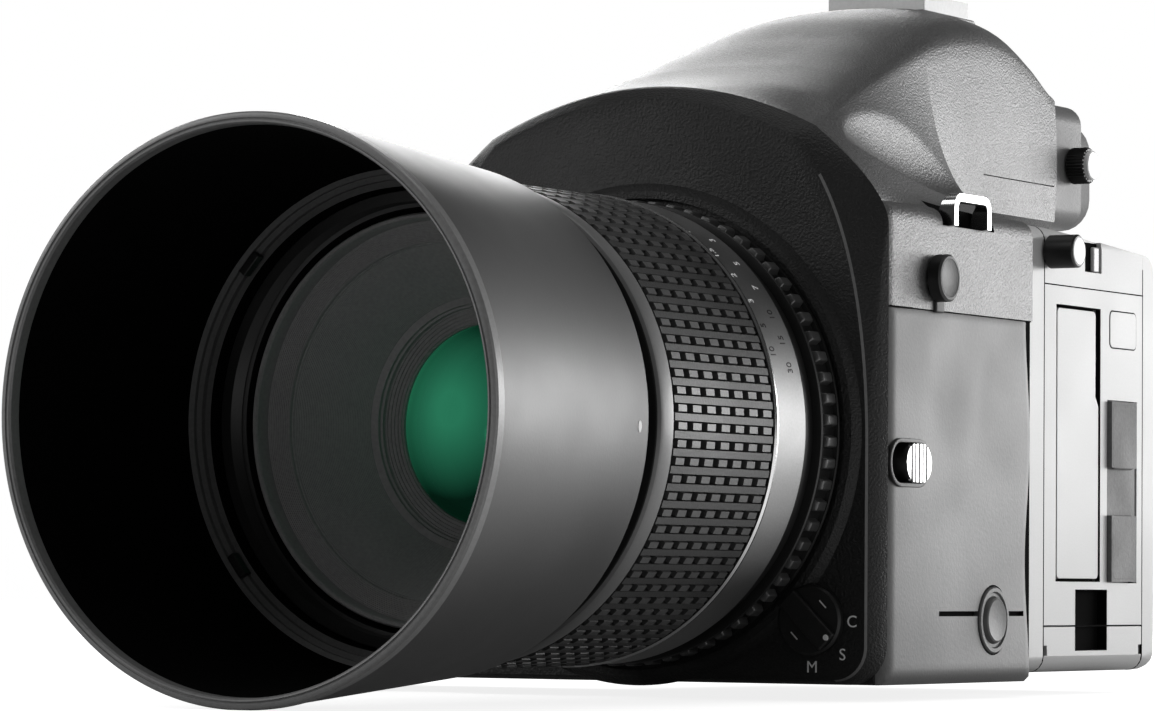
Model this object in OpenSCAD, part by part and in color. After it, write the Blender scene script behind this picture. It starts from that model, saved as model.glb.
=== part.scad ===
// Medium format digital camera: reflex body, lens with hood and digital back.
// Millimetres. The origin is the tripod socket, +Z is up and the lens looks along -Y.

/* [Body] */
// Height of the lens axis above the base
axis_h = 43.7; // [42.5:0.1:45]
// Half width of the mirror box body
body_half_w = 47.5; // [47:0.1:49]
// Distance from the socket forward to the front cover's seam
body_front = 28.3; // [28:0.1:29]
// Distance from the socket back to the body's rear face
body_rear = 29.4; // [29:0.1:30.5]
// Wall of the side and top covers
skin = 2.4; // [2:0.1:2.8]
// Height of the shoulders over the chassis deck
shoulder_rise = 3.6; // [3:0.1:6]
// Lower edge of the textured band on the sides
band_h = 65.7; // [62:0.1:68]
// Thickness of the base plate
base_t = 2.6; // [2.2:0.1:3.2]
// Height of the chassis deck under the prism
deck_h = 80; // [79:0.1:80.5]
// Thickness of the rear gate plate
gate_t = 2.5; // [2:0.1:2.8]
// Radius of the tripod thread
tripod_r = 4.76; // [3.175, 4.76]
// Outer radius of the tripod bush
bush_r = 8; // [7:0.1:10]
// Height of the tripod bush
bush_h = 9; // [7:0.1:9.5]

/* [Front cover] */
// Thickness of the front cover
front_t = 4; // [3.8:0.1:4.6]
// Inset of the front face from the body side
front_inset = 2.1; // [1.5:0.1:3]
// Half width of the hump's ridge at the front cover
ridge_half_w = 33; // [31:0.1:35]
// Height of the hump's ridge over the deck, at the front cover
ridge_rise = 17.4; // [16.5:0.1:19]
// Height of the roof's crown over the deck, at the front cover
crown_rise = 25.6; // [25:0.1:27]
// Radius of the lower corners
foot_corner_r = 6; // [4:0.1:8]
// Distance of the focus mode dial from the centre plane
dial_x = 35; // [33:0.1:37]
// Height of the focus mode dial
dial_h = 11.2; // [10:0.1:13]
// Radius of the focus mode dial
dial_r = 6.1; // [5:0.1:6.6]

/* [Hump] */
// Half width of the hump over the digital back
hump_half_w = 24; // [23:0.1:25]
// Distance from the socket back to the hump's rear seam
hump_rear = 89; // [88:0.1:91]
// Gap between the top of the digital back and the hump's underside
hump_gap = 2.7; // [2.3:0.1:3.7]
// Height of the hump's highest crown over the deck
hump_rise = 47; // [46:0.1:48]
// Depth of the finger scoop on each shoulder
scoop_depth = 3.2; // [1:0.1:3.6]

/* [Mirror and shutter] */
// Half width of the mirror chamber
chamber_half_w = 27.5; // [26.5:0.1:28]
// Height of the mirror chamber's floor
chamber_floor = 12; // [10.5:0.1:14]
// Depth of the focusing screen's seat below the deck
screen_drop = 10.5; // [9:0.1:11]
// Thickness of the focusing screen
screen_t = 2; // [1.5:0.1:2.6]
// Length of the mirror from its hinge to its free edge
mirror_l = 43.5; // [40:0.1:44]
// Distance from the socket back to the mirror hinge
hinge_y = 19.2; // [18.8:0.1:19.6]
// Radius of the mirror's hinge pin
hinge_r = 1.2; // [1:0.1:1.4]
// Height of the picture gate
gate_h = 42; // [40:0.1:43]
// Half width of the picture gate
gate_half_w = 28; // [26:0.1:28.4]
// Thickness of one shutter blade
blade_t = 0.4; // [0.3:0.05:0.5]
// Overlap of neighbouring shutter blades
blade_lap = 1; // [0.8:0.1:1.4]

/* [Lens] */
// Distance from the socket forward to the lens mount's face
flange_d = 31.5; // [31.2:0.1:31.8]
// Inner radius of the lens mount
mount_r = 30.3; // [29.5:0.1:31]
// Outer radius of the lens mount
mount_outer_r = 33.4; // [33:0.1:34]
// Radius over the bumps of the rear barrel
bump_r = 41; // [40.5:0.1:42]
// Number of bumps round the rear barrel
bump_count = 68; // [40:1:72]
// Radius of the groove in front of the bumps
neck_r = 38.8; // [38.4:0.1:39.6]
// Distance forward to the front of the bumped barrel
bump_d = 40; // [39.5:0.1:40.5]
// Distance forward to the rear edge of the silver scale band
band_d = 45.5; // [44.5:0.1:46]
// Distance forward to the front edge of the silver scale band
band_end_d = 57; // [56:0.1:57.2]
// Radius of the silver scale band at its rear edge
band_r = 40.5; // [40:0.1:41]
// Radius of the silver scale band at its front edge
band_front_r = 39.6; // [39:0.1:40]
// Distance forward to the front of the rubber grip
grip_d = 91.5; // [90:0.1:92.5]
// Distance forward to the front of the focus ring
ring_d = 96; // [95.5:0.1:96.2]
// Radius over the rubber grip
grip_r = 40.8; // [40.4:0.1:41.2]
// Number of rubber ribs round the grip
grip_rows = 88; // [40:1:96]
// Outer radius of the inner sleeve that carries the focus ring
sleeve_r = 36.4; // [36.2:0.05:36.6]
// Outer radius of the sliding lens carriage
carriage_r = 34.5; // [34:0.1:34.7]
// Radius of the filter thread
filter_r = 36; // [35.8:0.1:36.1]
// Outer radius of the filter ring
filter_outer_r = 38; // [37.6:0.1:38.3]
// Distance forward to the filter ring's front face
filter_d = 107; // [106:0.1:108]
// Length of the filter thread
thread_l = 3.8; // [3:0.1:4.2]
// Radius of the front glass
glass_r = 19.5; // [18.5:0.1:20]
// Travel of the lens carriage when focusing
focus_travel = 8; // [4:0.1:8.5]

/* [Hood] */
// Distance forward to the hood's rear edge
hood_d = 103; // [102:0.1:104]
// Distance forward to the hood's rim
hood_rim_d = 156.75; // [150:0.25:160]
// Outer radius of the hood's rim
hood_rim_r = 46.55; // [45.5:0.05:47.5]
// Outer radius of the hood's rear edge
hood_rear_r = 42.6; // [42:0.1:43.5]
// Wall of the hood
hood_wall = 1.9; // [1.5:0.1:2.4]
// Distance forward to the hood's inner floor
hood_floor_d = 112; // [110:0.1:113]

/* [Digital back] */
// Half width of the digital back
back_half_w = 43.7; // [43:0.1:44.5]
// Distance from the socket back to the digital back's front face
back_front = 29.7; // [29.6:0.1:30.8]
// Distance from the socket back to the seam behind its front frame
back_seam = 42.6; // [42:0.1:43.2]
// Distance from the socket back to the rear cover's seam
back_rear_seam = 87; // [86.6:0.1:88]
// Distance from the socket back to the rear face
back_rear = 92.2; // [91.5:0.1:94]
// Height of the digital back's underside
back_floor = 1.4; // [1:0.1:2]
// Height of the seam over the battery
battery_seam = 10; // [9.6:0.1:10.4]
// Height of the seam under the top cover
top_seam = 73.5; // [72:0.1:74]
// Height of the top at the front
back_top_h = 84.3; // [83.6:0.1:84.6]
// Height of the top at the rear
back_top_rear_h = 81; // [80:0.1:82]
// Wall of the digital back
back_wall = 2.4; // [2.2:0.1:2.8]
// Radius of the digital back's long edges
back_edge_r = 3; // [2:0.1:4]
// Thickness of the card door
door_t = 1.3; // [1.2:0.05:1.5]
// Distance from the socket back to the card door's hinge edge
door_y = 48.1; // [47.6:0.1:48.6]
// Width of the card door
door_w = 19.2; // [18.5:0.1:19.6]
// Height of the card door's lower edge
door_floor = 18.5; // [18:0.1:20]
// Height of the card door's upper edge
door_top = 69.7; // [68:0.1:70.5]

/* [Grip] */
// Distance of the grip's outer side from the centre plane
grip_reach = 102; // [98:0.5:106]
// Height of the grip's top
grip_h = 79; // [76:0.1:82]
// Distance of the grip's front bulge ahead of the socket
grip_front = 37; // [34:0.1:40]

/* [Clearances] */
// Radial clearance of a running shaft
shaft_gap = 0.05; // [0.02:0.01:0.1]
// Clearance between parts that move past each other
slide_gap = 0.3; // [0.2:0.05:0.4]

/* [Hidden] */
$fn = 96;

// Small distance by which a cut runs past a face
past = 1;

// Heights that follow the chassis deck
shoulder_h = deck_h + shoulder_rise;
ridge_h = deck_h + ridge_rise;
crown_h = deck_h + crown_rise;
hump_floor = max(back_top_h, back_top_rear_h) + hump_gap;
hump_top = deck_h + hump_rise;
screen_h = deck_h - screen_drop;

// Body derived values
chassis_half_w = body_half_w - skin;
gate_y = body_rear - gate_t;
front_wall = 2.5;
front_face = body_front + front_t;
chamber_front = body_front - front_wall;
chamber_rear = hinge_y + 1.6;
pocket_front = hinge_y + 2.4;
pocket_half_w = gate_half_w + 5;
pocket_floor = 5.5;
gate_floor = axis_h - gate_h / 2;
gate_top = axis_h + gate_h / 2;
pocket_top = gate_top + 4;
hinge_z = screen_h - hinge_r - 0.5;
mirror_t = 1.6;
mirror_half_w = chamber_half_w - 0.7;
pin_reach = 2.5;
deck_window = [22, 36];
blade_pitch = gate_h / 3;
blade_half_w = gate_half_w + 1.8;
blade_gap = 0.2;
blade_y = pocket_front + 1.4;
channel_t = 3 * blade_t + 4 * blade_gap;

// Dial, slider and cap places on the body's side
edge_wave = 1;
slider_y = -20.1;
slider_z = 38.6;
slider_slot = [14, 7];
slider_l = 9.6;
slider_depth = 3.4;
slider_out = 0.8;
rib_pitch = 1.4;
rib_gap = 0.6;
cap_y = -10.3;
cap_z = band_h + 5.6;
cap_r = 4.2;
cap_h = 2.6;
terminal_r = 2.6;
port_y = 13.3;
port_z = 11.2;
port_r = 6.3;
port_inner_r = 4.3;
port_seat = 1.5;
groove_y = [-8.5, 26];
groove_z = port_z + 0.7;
groove_w = 0.9;
groove_depth = 0.8;
lug_y = 3.2;
lug_floor = shoulder_h - 5.8;
lug_w = 14.4;
lug_h = 6.6;
lug_bar = 1.7;
lug_out = 1.3;
lug_pocket_r = 9.6;
grip_lug_drop = 17.2;
dial_h_out = 1.5;
dial_shaft_r = 1.5;
dial_shaft_l = 6;

// Hump stations: distance back, ridge half width, ridge height, crown height and fullness of the roof's edge
ridge_run = [
    [-body_front, ridge_half_w, ridge_h, crown_h, 0.5],
    [-15, hump_half_w + 6.5, deck_h + 22.1, deck_h + 27.8, 0.75],
    [0, hump_half_w + 4.2, deck_h + 26.8, deck_h + 32, 0.85],
    [18, hump_half_w + 2.3, deck_h + 32.2, deck_h + 38.4, 0.9],
    [36, hump_half_w + 1, hump_top - 9.8, hump_top - 3, 0.9],
    [52, hump_half_w + 0.4, hump_top - 7.7, hump_top - 0.2, 0.9],
    [62, hump_half_w + 0.2, hump_top - 7.4, hump_top, 0.9],
    [71, hump_half_w + 0.1, hump_top - 8.6, hump_top - 0.8, 0.9],
    [80, hump_half_w, hump_top - 11.1, hump_top - 4.6, 0.9],
    [hump_rear, hump_half_w, hump_top - 14.8, hump_top - 10.5, 0.9]
];
shoe_y = [59, 78];
shoe_half_w = 10.4;
shoe_seat = hump_top + 0.8;
shoe_h = 2.3;
shoe_t = 0.9;
shoulder_r = 3;
hump_edge = 1.5;
hump_bow = 0.5;
eyepiece_l = 13.6;
eyepiece_top = hump_top - 14.6;
eyepiece_floor = hump_floor + 1;
eyepiece_half_w = hump_half_w - 0.6;
window_half_w = 13;
window_h = 15;
window_z = (eyepiece_top + eyepiece_floor) / 2;
eyecup_l = 9.4;
eyecup_inset = 2.4;
knob_y = hump_rear + 9;
knob_r = 3.6;
knob_l = 4.6;
knob_stem_r = 1.2;
prism_half_w = 24.5;
prism_step = 5;
prism_h = 19;
prism_top_half_w = 9;
prism_front = -20;
prism_rear = 24;
prism_gap = 0.3;
hump_hollow_half_w = 20;
hump_hollow_top = hump_top - 17;

// Lens derived values
bump_start = flange_d + 1.3;
bump_depth = 1.1;
bump_base_r = bump_r - bump_depth - 0.3;
bayonet_r = mount_r - 0.3;
bayonet_t = 2.2;
bayonet_d = 26.6;
sleeve_in_r = carriage_r + 0.1;
sleeve_d = 40;
sleeve_end = ring_d + 2;
thread_d = filter_d - thread_l;
ring_in_r = sleeve_r + shaft_gap;
ring_wall_r = 38.8;
ring_start = band_end_d + 0.6;
lip_r = grip_r - 0.2;
block_h = 1.1;
baffle_d = hood_floor_d - focus_travel - 1;
baffle_r = carriage_r - 1;
throat_d = 86;
throat_r = 21.5;
baffle_steps = 8;
glass_d = 82;
glass_seat = 74;
glass_lip = 2.4;
cell_r = carriage_r - 3;
carriage_start = 58;
hood_bore_r = filter_outer_r + slide_gap;
hood_floor_r = hood_rear_r - hood_wall + 0.4;

// Digital back derived values
back_peak = max(back_top_h, back_top_rear_h);
frame_half_w = 31;
frame_half_h = 23.5;
sensor_y = 33.4;
battery_gap = 0.2;
battery_end = -38;
rail_h = 1.4;
rail_z = 5.4;
rail_out = 1.4;
notch_y = [56.6, 70.8];
notch_top = 16.7;
notch_floor = 5.4;
notch_depth = 2;
door_gap = 0.25;
door_pin_r = 0.65;
door_pin_l = 1.2;
door_pin_x = back_half_w - door_t / 2 - 0.05;
bay_inset = 1.6;
dent_r = 2;
dent_l = 8;
cover_y = [71, 84.2];
cover_z = [18.3, 52.6];
cover_t = 1.3;
pad_t = 0.9;
pad_h = 12.6;
hinge_pin_r = 0.6;
cover_pin_x = back_half_w - cover_t / 2 - 0.05;
lock_y = 44.2;
lock_z = back_top_h - 4.9;
lock_r = 3.1;
lock_l = 6.4;
lock_stem_r = 1.2;
lock_travel = 4;
catch_y = [60.5, 68];
catch_depth = 1.2;
catch_rise = 3.2;
display_half = [27, 20.5];
display_z = 46;
button_r = 3.2;
button_out = 0.9;
button_travel = 0.7;
button_x = 35;
button_z = [34, 58];
board_t = 1.6;
board_y = 62;

// Grip derived values
grip_in = 9 - chassis_half_w;
holder = [[-96, -66], [-24, 18], [base_t, 54]];
grip_wall = 2.2;
button_place = [-82, -22];
shutter_r = 5.4;
shutter_out = 2.2;
front_dial_place = [-82, -grip_front + 6.4, 64];
front_dial_r = 8;
front_dial_w = 5;
rear_dial_place = [-84, 23, 66];
rear_dial_r = 9;
rear_dial_w = 5;
axle_r = 1.2;
grip_plan = [
    [grip_in, -body_front], [-body_half_w - 12, 12 - grip_front], [32 - grip_reach, -grip_front],
    [6 - grip_reach, -grip_front], [-grip_reach, 21 - grip_front], [-grip_reach, body_rear - 9.4],
    [12 - grip_reach, body_rear], [grip_in, body_rear]
];
grip_corner_r = 7;
grip_top_inset = 4.6;
grip_edge = [
    [0, 1], [1.2, 0], [grip_h - 6, 0], [grip_h - 2.6, 1], [grip_h - 0.8, 2.6], [grip_h, grip_top_inset]
];
rubber_t = 1.2;
rubber_z = [3, grip_h - 26];
rubber_in = 12;

// Unit vector from one point to another
function unit(a, b) = (b - a) / norm(b - a);

// Points of an arc
function arc(c, r, a0, a1, n) =
    [for (i = [0:n]) let (a = a0 + (a1 - a0) * i / n) c + r * [cos(a), sin(a)]];

// Rounded corner at b, coming from a and going to c
function corner(a, b, c, r, n = 6) =
    let (u = unit(b, a), v = unit(b, c), half = acos(u * v) / 2)
    let (m = b + (u + v) / norm(u + v) * r / sin(half))
    let (p = b + u * r / tan(half) - m, q = b + v * r / tan(half) - m)
    let (a0 = atan2(p[1], p[0]), turn = atan2(q[1], q[0]) - a0)
    arc(m, r, a0, a0 + (turn > 180 ? turn - 360 : turn < -180 ? turn + 360 : turn), n);

// Closed outline with every corner rounded
function rounded(pts, r, n = 6) = [
    for (i = [0:len(pts) - 1])
        each corner(pts[(i + len(pts) - 1) % len(pts)], pts[i], pts[(i + 1) % len(pts)], r, n)
];

// Value between two others
function between(a, b, t) = a * (1 - t) + b * t;

// Point of a quadratic curve
function bend(a, b, c, t) = a * (1 - t) * (1 - t) + b * 2 * t * (1 - t) + c * t * t;

// Right half outline with its mirror image, as one closed ring at distance y back
function ring(half, y) = concat(
    [for (p = half) [p[0], y, p[1]]],
    [for (i = [len(half) - 2:-1:0]) [-half[i][0], y, half[i][1]]]
);

// Smooth value through a table of stations, by distance back
function cubic(a, b, c, d, t) =
    b + 0.5 * t * (c - a + t * (2 * a - 5 * b + 4 * c - d + t * (3 * (b - c) + d - a)));
function station(y, i = 0) =
    i < len(ridge_run) - 2 && y > ridge_run[i + 1][0] ? station(y, i + 1)
    : let (last = len(ridge_run) - 1, t = (y - ridge_run[i][0]) / (ridge_run[i + 1][0] - ridge_run[i][0]))
      cubic(ridge_run[max(i - 1, 0)], ridge_run[i], ridge_run[i + 1], ridge_run[min(i + 2, last)], t);

// Outline with every side moved inward by d, for an outline that runs clockwise seen from above
function inset(pts, d) = [
    for (i = [0:len(pts) - 1])
        let (u = unit(pts[(i + len(pts) - 1) % len(pts)], pts[i]), v = unit(pts[i], pts[(i + 1) % len(pts)]))
        let (m = [u[1], -u[0]], n = [v[1], -v[0]])
        pts[i] + d * (m + n) / (1 + m * n)
];

// Solid through a row of rings that run clockwise seen along the row
module loft(rings) {
    n = len(rings[0]);
    m = len(rings);
    front = [[for (k = [n - 1:-1:0]) k]];
    rear = [[for (k = [0:n - 1]) (m - 1) * n + k]];
    sides = [
        for (i = [0:m - 2], k = [0:n - 1])
            each let (a = i * n + k, b = i * n + (k + 1) % n) [[a, b, b + n], [a, b + n, a + n]]
    ];
    polyhedron(points = [for (r = rings) each r], faces = concat(front, sides, rear));
}

// Shapes drawn about the lens axis, with their height counted forward from the socket
module on_axis() translate([0, 0, axis_h]) rotate([90, 0, 0]) children();

// Outline in X and Z, drawn from y0 back to y1
module depth(y0, y1) translate([0, y1, 0]) rotate([90, 0, 0]) linear_extrude(y1 - y0) children();

// Outline in Y and Z, drawn from x0 to x1
module width(x0, x1) translate([x0, 0, 0]) rotate([90, 0, 90]) linear_extrude(x1 - x0) children();

// Block between two corners
module block(a, b) translate(a) cube(b - a);

// Rods along the three axes
module rod_x(x0, x1, y, z, r) translate([x0, y, z]) rotate([0, 90, 0]) cylinder(h = x1 - x0, r = r);
module rod_y(y0, y1, x, z, r) translate([x, y1, z]) rotate([90, 0, 0]) cylinder(h = y1 - y0, r = r);
module rod_z(z0, z1, x, y, r) translate([x, y, z0]) cylinder(h = z1 - z0, r = r);

// Slot with round ends along Y, centred in Y and Z
module slot_x(x0, x1, y, z, l, h) {
    block([x0, y - (l - h) / 2, z - h / 2], [x1, y + (l - h) / 2, z + h / 2]);
    for (s = [-1, 1]) rod_x(x0, x1, y + s * (l - h) / 2, z, h / 2);
}

// Roof curve from a ridge up to the crown; a fuller edge rises more steeply at the ridge
function roof(ridge, crown, full) =
    [for (i = [1:8]) bend(ridge, [ridge[0] * full, crown], [0, crown], i / 8)];

// Slot of the lens release slider
module slider_space(x0, x1) slot_x(x0, x1, slider_y, slider_z, slider_slot[0], slider_slot[1]);

// Body outline: foot, side, shoulder curve, ridge and crown of the right half
function body_half(w, floor, r, side_top, bow, ridge, crown) = concat(
    [[0, floor]],
    arc([w - r, floor + r], r, -90, 0, 6),
    [for (i = [0:8]) bend([w, side_top], bow, ridge, i / 8)],
    roof(ridge, crown, ridge_run[0][4])
);

// Half outline of the top cover at distance y back
function flare(y) =
    let (s = station(y), t = (y + body_front) / (body_rear + body_front), w = body_half_w)
    let (start = [w, shoulder_h - shoulder_r], foot = [w - shoulder_r, shoulder_h + 0.6])
    let (bow = [foot[0] - t * (foot[0] - s[1] - shoulder_r), shoulder_h + 4 - 3.4 * t])
    concat(
        [[w, band_h]],
        [for (i = [0:3]) bend(start, [w, shoulder_h], foot, i / 3)],
        [for (i = [1:14]) scooped(bend(foot, bow, [s[1], s[2]], i / 14), y, i / 14)],
        roof([s[1], s[2]], s[3], s[4])
    );

// Finger scoop: an oval hollow that runs down the shoulder from the front
scoop_mid = [4, 0.64];
scoop_half = [25, 0.21];
scoop_fall = 0.0077;
function scooped(p, y, t) =
    let (along = y - scoop_mid[0], across = t - scoop_mid[1] + scoop_fall * along)
    let (q = min(1, pow(along / scoop_half[0], 2) + pow(across / scoop_half[1], 2)))
    p - scoop_depth * (1 - q) * [0.7, 0.7];

// Half outline of the hump over the digital back, with slightly bowed sides
function hump(y) =
    let (s = station(y), low = hump_floor + hump_edge)
    concat(
        [[s[1] - hump_edge, hump_floor]],
        [for (i = [0:5]) [s[1] + hump_bow * sin(180 * i / 5), low + (s[2] - low) * i / 5]],
        roof([s[1], s[2]], s[3], s[4])
    );

// Die-cast chassis with the mirror chamber, shutter pocket and seats
module chassis() color("dimgray") difference() {
    block([-chassis_half_w, -body_front, base_t], [chassis_half_w, gate_y, deck_h]);
    block([-chamber_half_w, -chamber_front, chamber_floor],
          [chamber_half_w, chamber_rear, screen_h + screen_t]);
    on_axis() translate([0, 0, chamber_front - past]) cylinder(h = front_wall + 2 * past, r = mount_r);
    block([-deck_window[0], -deck_window[1] / 2, screen_h],
          [deck_window[0], deck_window[1] / 2, deck_h + past]);
    block([-gate_half_w, hinge_y, gate_floor], [gate_half_w, pocket_front + past, gate_top]);
    block([-pocket_half_w, pocket_front, pocket_floor], [pocket_half_w, gate_y + past, pocket_top]);
    for (s = [-1, 1]) translate([s * (chamber_half_w + pin_reach / 2), 0, 0])
        rod_x(-pin_reach / 2 - past / 2, pin_reach / 2 + past / 2, hinge_y, hinge_z, hinge_r + shaft_gap);
    rod_z(base_t - past, bush_h, 0, 0, bush_r);
    rod_y(-body_front - past, -front_face + dial_shaft_l + past, dial_x, dial_h, dial_shaft_r + shaft_gap);
    slider_space(chassis_half_w - slider_depth, chassis_half_w + past);
    rod_x(chassis_half_w - port_seat, chassis_half_w + past, port_y, port_z, port_inner_r);
    rod_x(chassis_half_w - terminal_r, chassis_half_w + past, cap_y, cap_z, terminal_r);
}

// Rear gate plate, which the digital back closes
module gate_plate() color("gray") difference() {
    block([-chassis_half_w, gate_y, base_t], [chassis_half_w, body_rear, deck_h]);
    block([-gate_half_w, gate_y - past, gate_floor], [gate_half_w, body_rear + past, gate_top]);
}

// Base plate round the tripod bush
module base_plate() color("black") difference() {
    block([-chassis_half_w, -body_front, 0], [chassis_half_w, body_rear, base_t]);
    rod_z(-past, base_t + past, 0, 0, bush_r);
}

// Steel bush with the tripod thread
module tripod_bush() color("silver") difference() {
    rod_z(0, bush_h, 0, 0, bush_r);
    rod_z(-past, bush_h + past, 0, 0, tripod_r);
}

// Moulded front cover, bevelled from its face to the seam
module front_cover() {
    rim = body_half(body_half_w, 0, foot_corner_r + 1, shoulder_h - 4,
        [body_half_w - 0.3, shoulder_h + 2.4], [ridge_half_w, ridge_h], crown_h);
    face = body_half(body_half_w - front_inset, 0.6, foot_corner_r, axis_h,
        [body_half_w - 2.8, shoulder_h - 2.6], [ridge_half_w - 2.4, ridge_h - 1.6], crown_h - 2.2);
    brow = body_half(body_half_w - 0.5, 0.15, foot_corner_r + 0.8, shoulder_h - 12,
        [body_half_w - 0.8, shoulder_h + 1], [ridge_half_w - 0.6, ridge_h - 0.7], crown_h - 0.5);
    color("#1c1c1d") difference() {
        loft([ring(face, -front_face), ring(brow, -body_front - front_t * 0.45), ring(rim, -body_front)]);
        on_axis() translate([0, 0, body_front - past]) cylinder(h = front_t + 2 * past, r = mount_outer_r);
        rod_y(-front_face - past, -body_front + past, dial_x, dial_h, dial_shaft_r + shaft_gap);
    }
}

// Rubber side cover below the textured band
module side_cover() color("#6f7072") difference() {
    width(chassis_half_w, body_half_w) polygon(concat(
        [[-body_front, 0], [body_rear, 0]],
        [for (i = [0:12]) [body_rear - edge_wave + edge_wave * cos(540 * i / 12), band_h * i / 12]],
        [[-body_front, band_h]]
    ));
    slider_space(chassis_half_w - past, body_half_w + past);
    rod_x(chassis_half_w - past, body_half_w + past, port_y, port_z, port_r);
    block([body_half_w - groove_depth, groove_y[0], groove_z],
          [body_half_w + past, groove_y[1], groove_z + groove_w]);
}

// Moulded top cover: side bands, scooped shoulders, prism hump and shoe pedestal
module top_cover() {
    hump_rings = 22;
    color("#2b2b2c") difference() {
        union() {
            shoulders();
            loft([for (i = [0:hump_rings]) let (y = between(body_rear, hump_rear, i / hump_rings))
                ring(hump(y), y)]);
            shoe_pedestal();
        }
        prism_space();
        block([-hump_hollow_half_w, prism_rear - 20, hump_floor + skin],
              [hump_hollow_half_w, hump_rear - skin, hump_hollow_top]);
        block([-window_half_w, hump_rear - skin - past, window_z - window_h / 2],
              [window_half_w, hump_rear + past, window_z + window_h / 2]);
        rod_x(chassis_half_w - terminal_r, body_half_w + past, cap_y, cap_z, terminal_r);
        lug_pocket();
    }
}

// Flaring front part of the cover on both sides of the deck, flat at its rear
module shoulders() {
    rings = 24;
    difference() {
        difference() {
            loft([for (i = [0:rings + 1])
                let (y = between(-body_front, body_rear, min(1, i / rings)))
                ring(flare(y), i > rings ? body_rear + 3 * past : y)]);
            block([-2 * body_half_w, body_rear, 0], [2 * body_half_w, body_rear + 4 * past, 2 * hump_top]);
        }
        block([-chassis_half_w, -body_front - past, band_h - past],
              [chassis_half_w, body_rear + past, deck_h]);
    }
}

// Pedestal under the accessory shoe, sloping away behind it
module shoe_pedestal() width(-shoe_half_w - 0.6, shoe_half_w + 0.6) polygon([
    [shoe_y[0] - 2, hump_top - 7], [shoe_y[0] - 2, shoe_seat - 0.4], [shoe_y[0] - 1.6, shoe_seat],
    [shoe_y[1] + 1.6, shoe_seat], [shoe_y[1] + 7, hump_top - 4], [shoe_y[1] + 7, hump_top - 9]
]);

// Room for the prism inside the hump
module prism_space() {
    gap = prism_gap;
    block([-prism_half_w - gap, prism_front - gap, deck_h - past],
          [prism_half_w + gap, prism_rear + gap, deck_h + prism_step + gap]);
    depth(prism_front - gap, prism_rear + gap) polygon([
        [-prism_half_w - gap, deck_h + prism_step], [prism_half_w + gap, deck_h + prism_step],
        [prism_top_half_w + gap, deck_h + prism_h + gap], [-prism_top_half_w - gap, deck_h + prism_h + gap]
    ]);
}

// Half round pocket behind the strap lug
module lug_pocket() intersection() {
    rod_x(chassis_half_w, body_half_w + past, lug_y, lug_floor, lug_pocket_r);
    block([0, lug_y - lug_pocket_r, lug_floor], [body_half_w + 2 * past, lug_y + lug_pocket_r, hump_top]);
}

// Bayonet mount ring in the front cover
module lens_mount_ring() color("silver") on_axis() rotate_extrude() polygon([
    [mount_r, body_front], [mount_outer_r, body_front], [mount_outer_r, flange_d], [mount_r, flange_d]
]);

// Focusing screen under the deck
module focusing_screen() color("lightgray")
    block([-chamber_half_w, -chamber_front, screen_h], [chamber_half_w, chamber_rear, screen_h + screen_t]);

// Viewfinder prism on the deck
module prism() color("lightcyan") intersection() {
    depth(prism_front, prism_rear) polygon([
        [-prism_half_w, deck_h], [prism_half_w, deck_h], [prism_half_w, deck_h + prism_step],
        [prism_top_half_w, deck_h + prism_h], [-prism_top_half_w, deck_h + prism_h],
        [-prism_half_w, deck_h + prism_step]
    ]);
    width(-prism_half_w, prism_half_w) polygon([
        [prism_front, deck_h], [prism_rear - 3, deck_h], [prism_rear, deck_h + prism_h / 2],
        [prism_rear - 2, deck_h + prism_h], [prism_front + 16, deck_h + prism_h],
        [prism_front, deck_h + prism_step + 3]
    ]);
}

// Eyepiece frame behind the hump
module eyepiece_frame() color("#3a3a3b") difference() {
    depth(hump_rear, hump_rear + eyepiece_l) polygon(rounded([
        [-eyepiece_half_w, eyepiece_floor], [eyepiece_half_w, eyepiece_floor],
        [eyepiece_half_w, eyepiece_top], [-eyepiece_half_w, eyepiece_top]
    ], 4));
    block([-window_half_w, hump_rear - past, window_z - window_h / 2],
          [window_half_w, hump_rear + eyepiece_l + past, window_z + window_h / 2]);
    rod_x(eyepiece_half_w - 5, eyepiece_half_w + past, knob_y, window_z, knob_stem_r + shaft_gap);
}

// Eyepiece glass, seated in the frame's window
module eyepiece_lens() color("lightcyan")
    block([-window_half_w, hump_rear + eyepiece_l - 5, window_z - window_h / 2],
          [window_half_w, hump_rear + eyepiece_l - 2, window_z + window_h / 2]);

// Soft rubber eyecup
module eyecup() {
    half = eyepiece_half_w - eyecup_inset;
    y = hump_rear + eyepiece_l;
    color("#242425") difference() {
        depth(y, y + eyecup_l) polygon(rounded([
            [-half, eyepiece_floor + 0.5], [half, eyepiece_floor + 0.5],
            [half, eyepiece_top - eyecup_inset], [-half, eyepiece_top - eyecup_inset]
        ], 6));
        block([-window_half_w, y - past, window_z - window_h / 2],
              [window_half_w, y + eyecup_l + past, window_z + window_h / 2]);
        translate([0, y + 3, 0]) depth(0, eyecup_l) polygon(rounded([
            [-half + 2.5, eyepiece_floor + 3], [half - 2.5, eyepiece_floor + 3],
            [half - 2.5, eyepiece_top - eyecup_inset - 2.5], [-half + 2.5, eyepiece_top - eyecup_inset - 2.5]
        ], 4));
    }
}

// Accessory shoe with its two rails
module hot_shoe() color("silver") difference() {
    block([-shoe_half_w, shoe_y[0], shoe_seat], [shoe_half_w, shoe_y[1], shoe_seat + shoe_h + shoe_t]);
    block([-shoe_half_w + shoe_t, shoe_y[0] + shoe_t, shoe_seat + shoe_t],
          [shoe_half_w - shoe_t, shoe_y[1] + past, shoe_seat + shoe_h]);
    block([-shoe_half_w + 4, shoe_y[0] + shoe_t, shoe_seat + shoe_t],
          [shoe_half_w - 4, shoe_y[1] + past, shoe_seat + shoe_h + shoe_t + past]);
}

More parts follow.
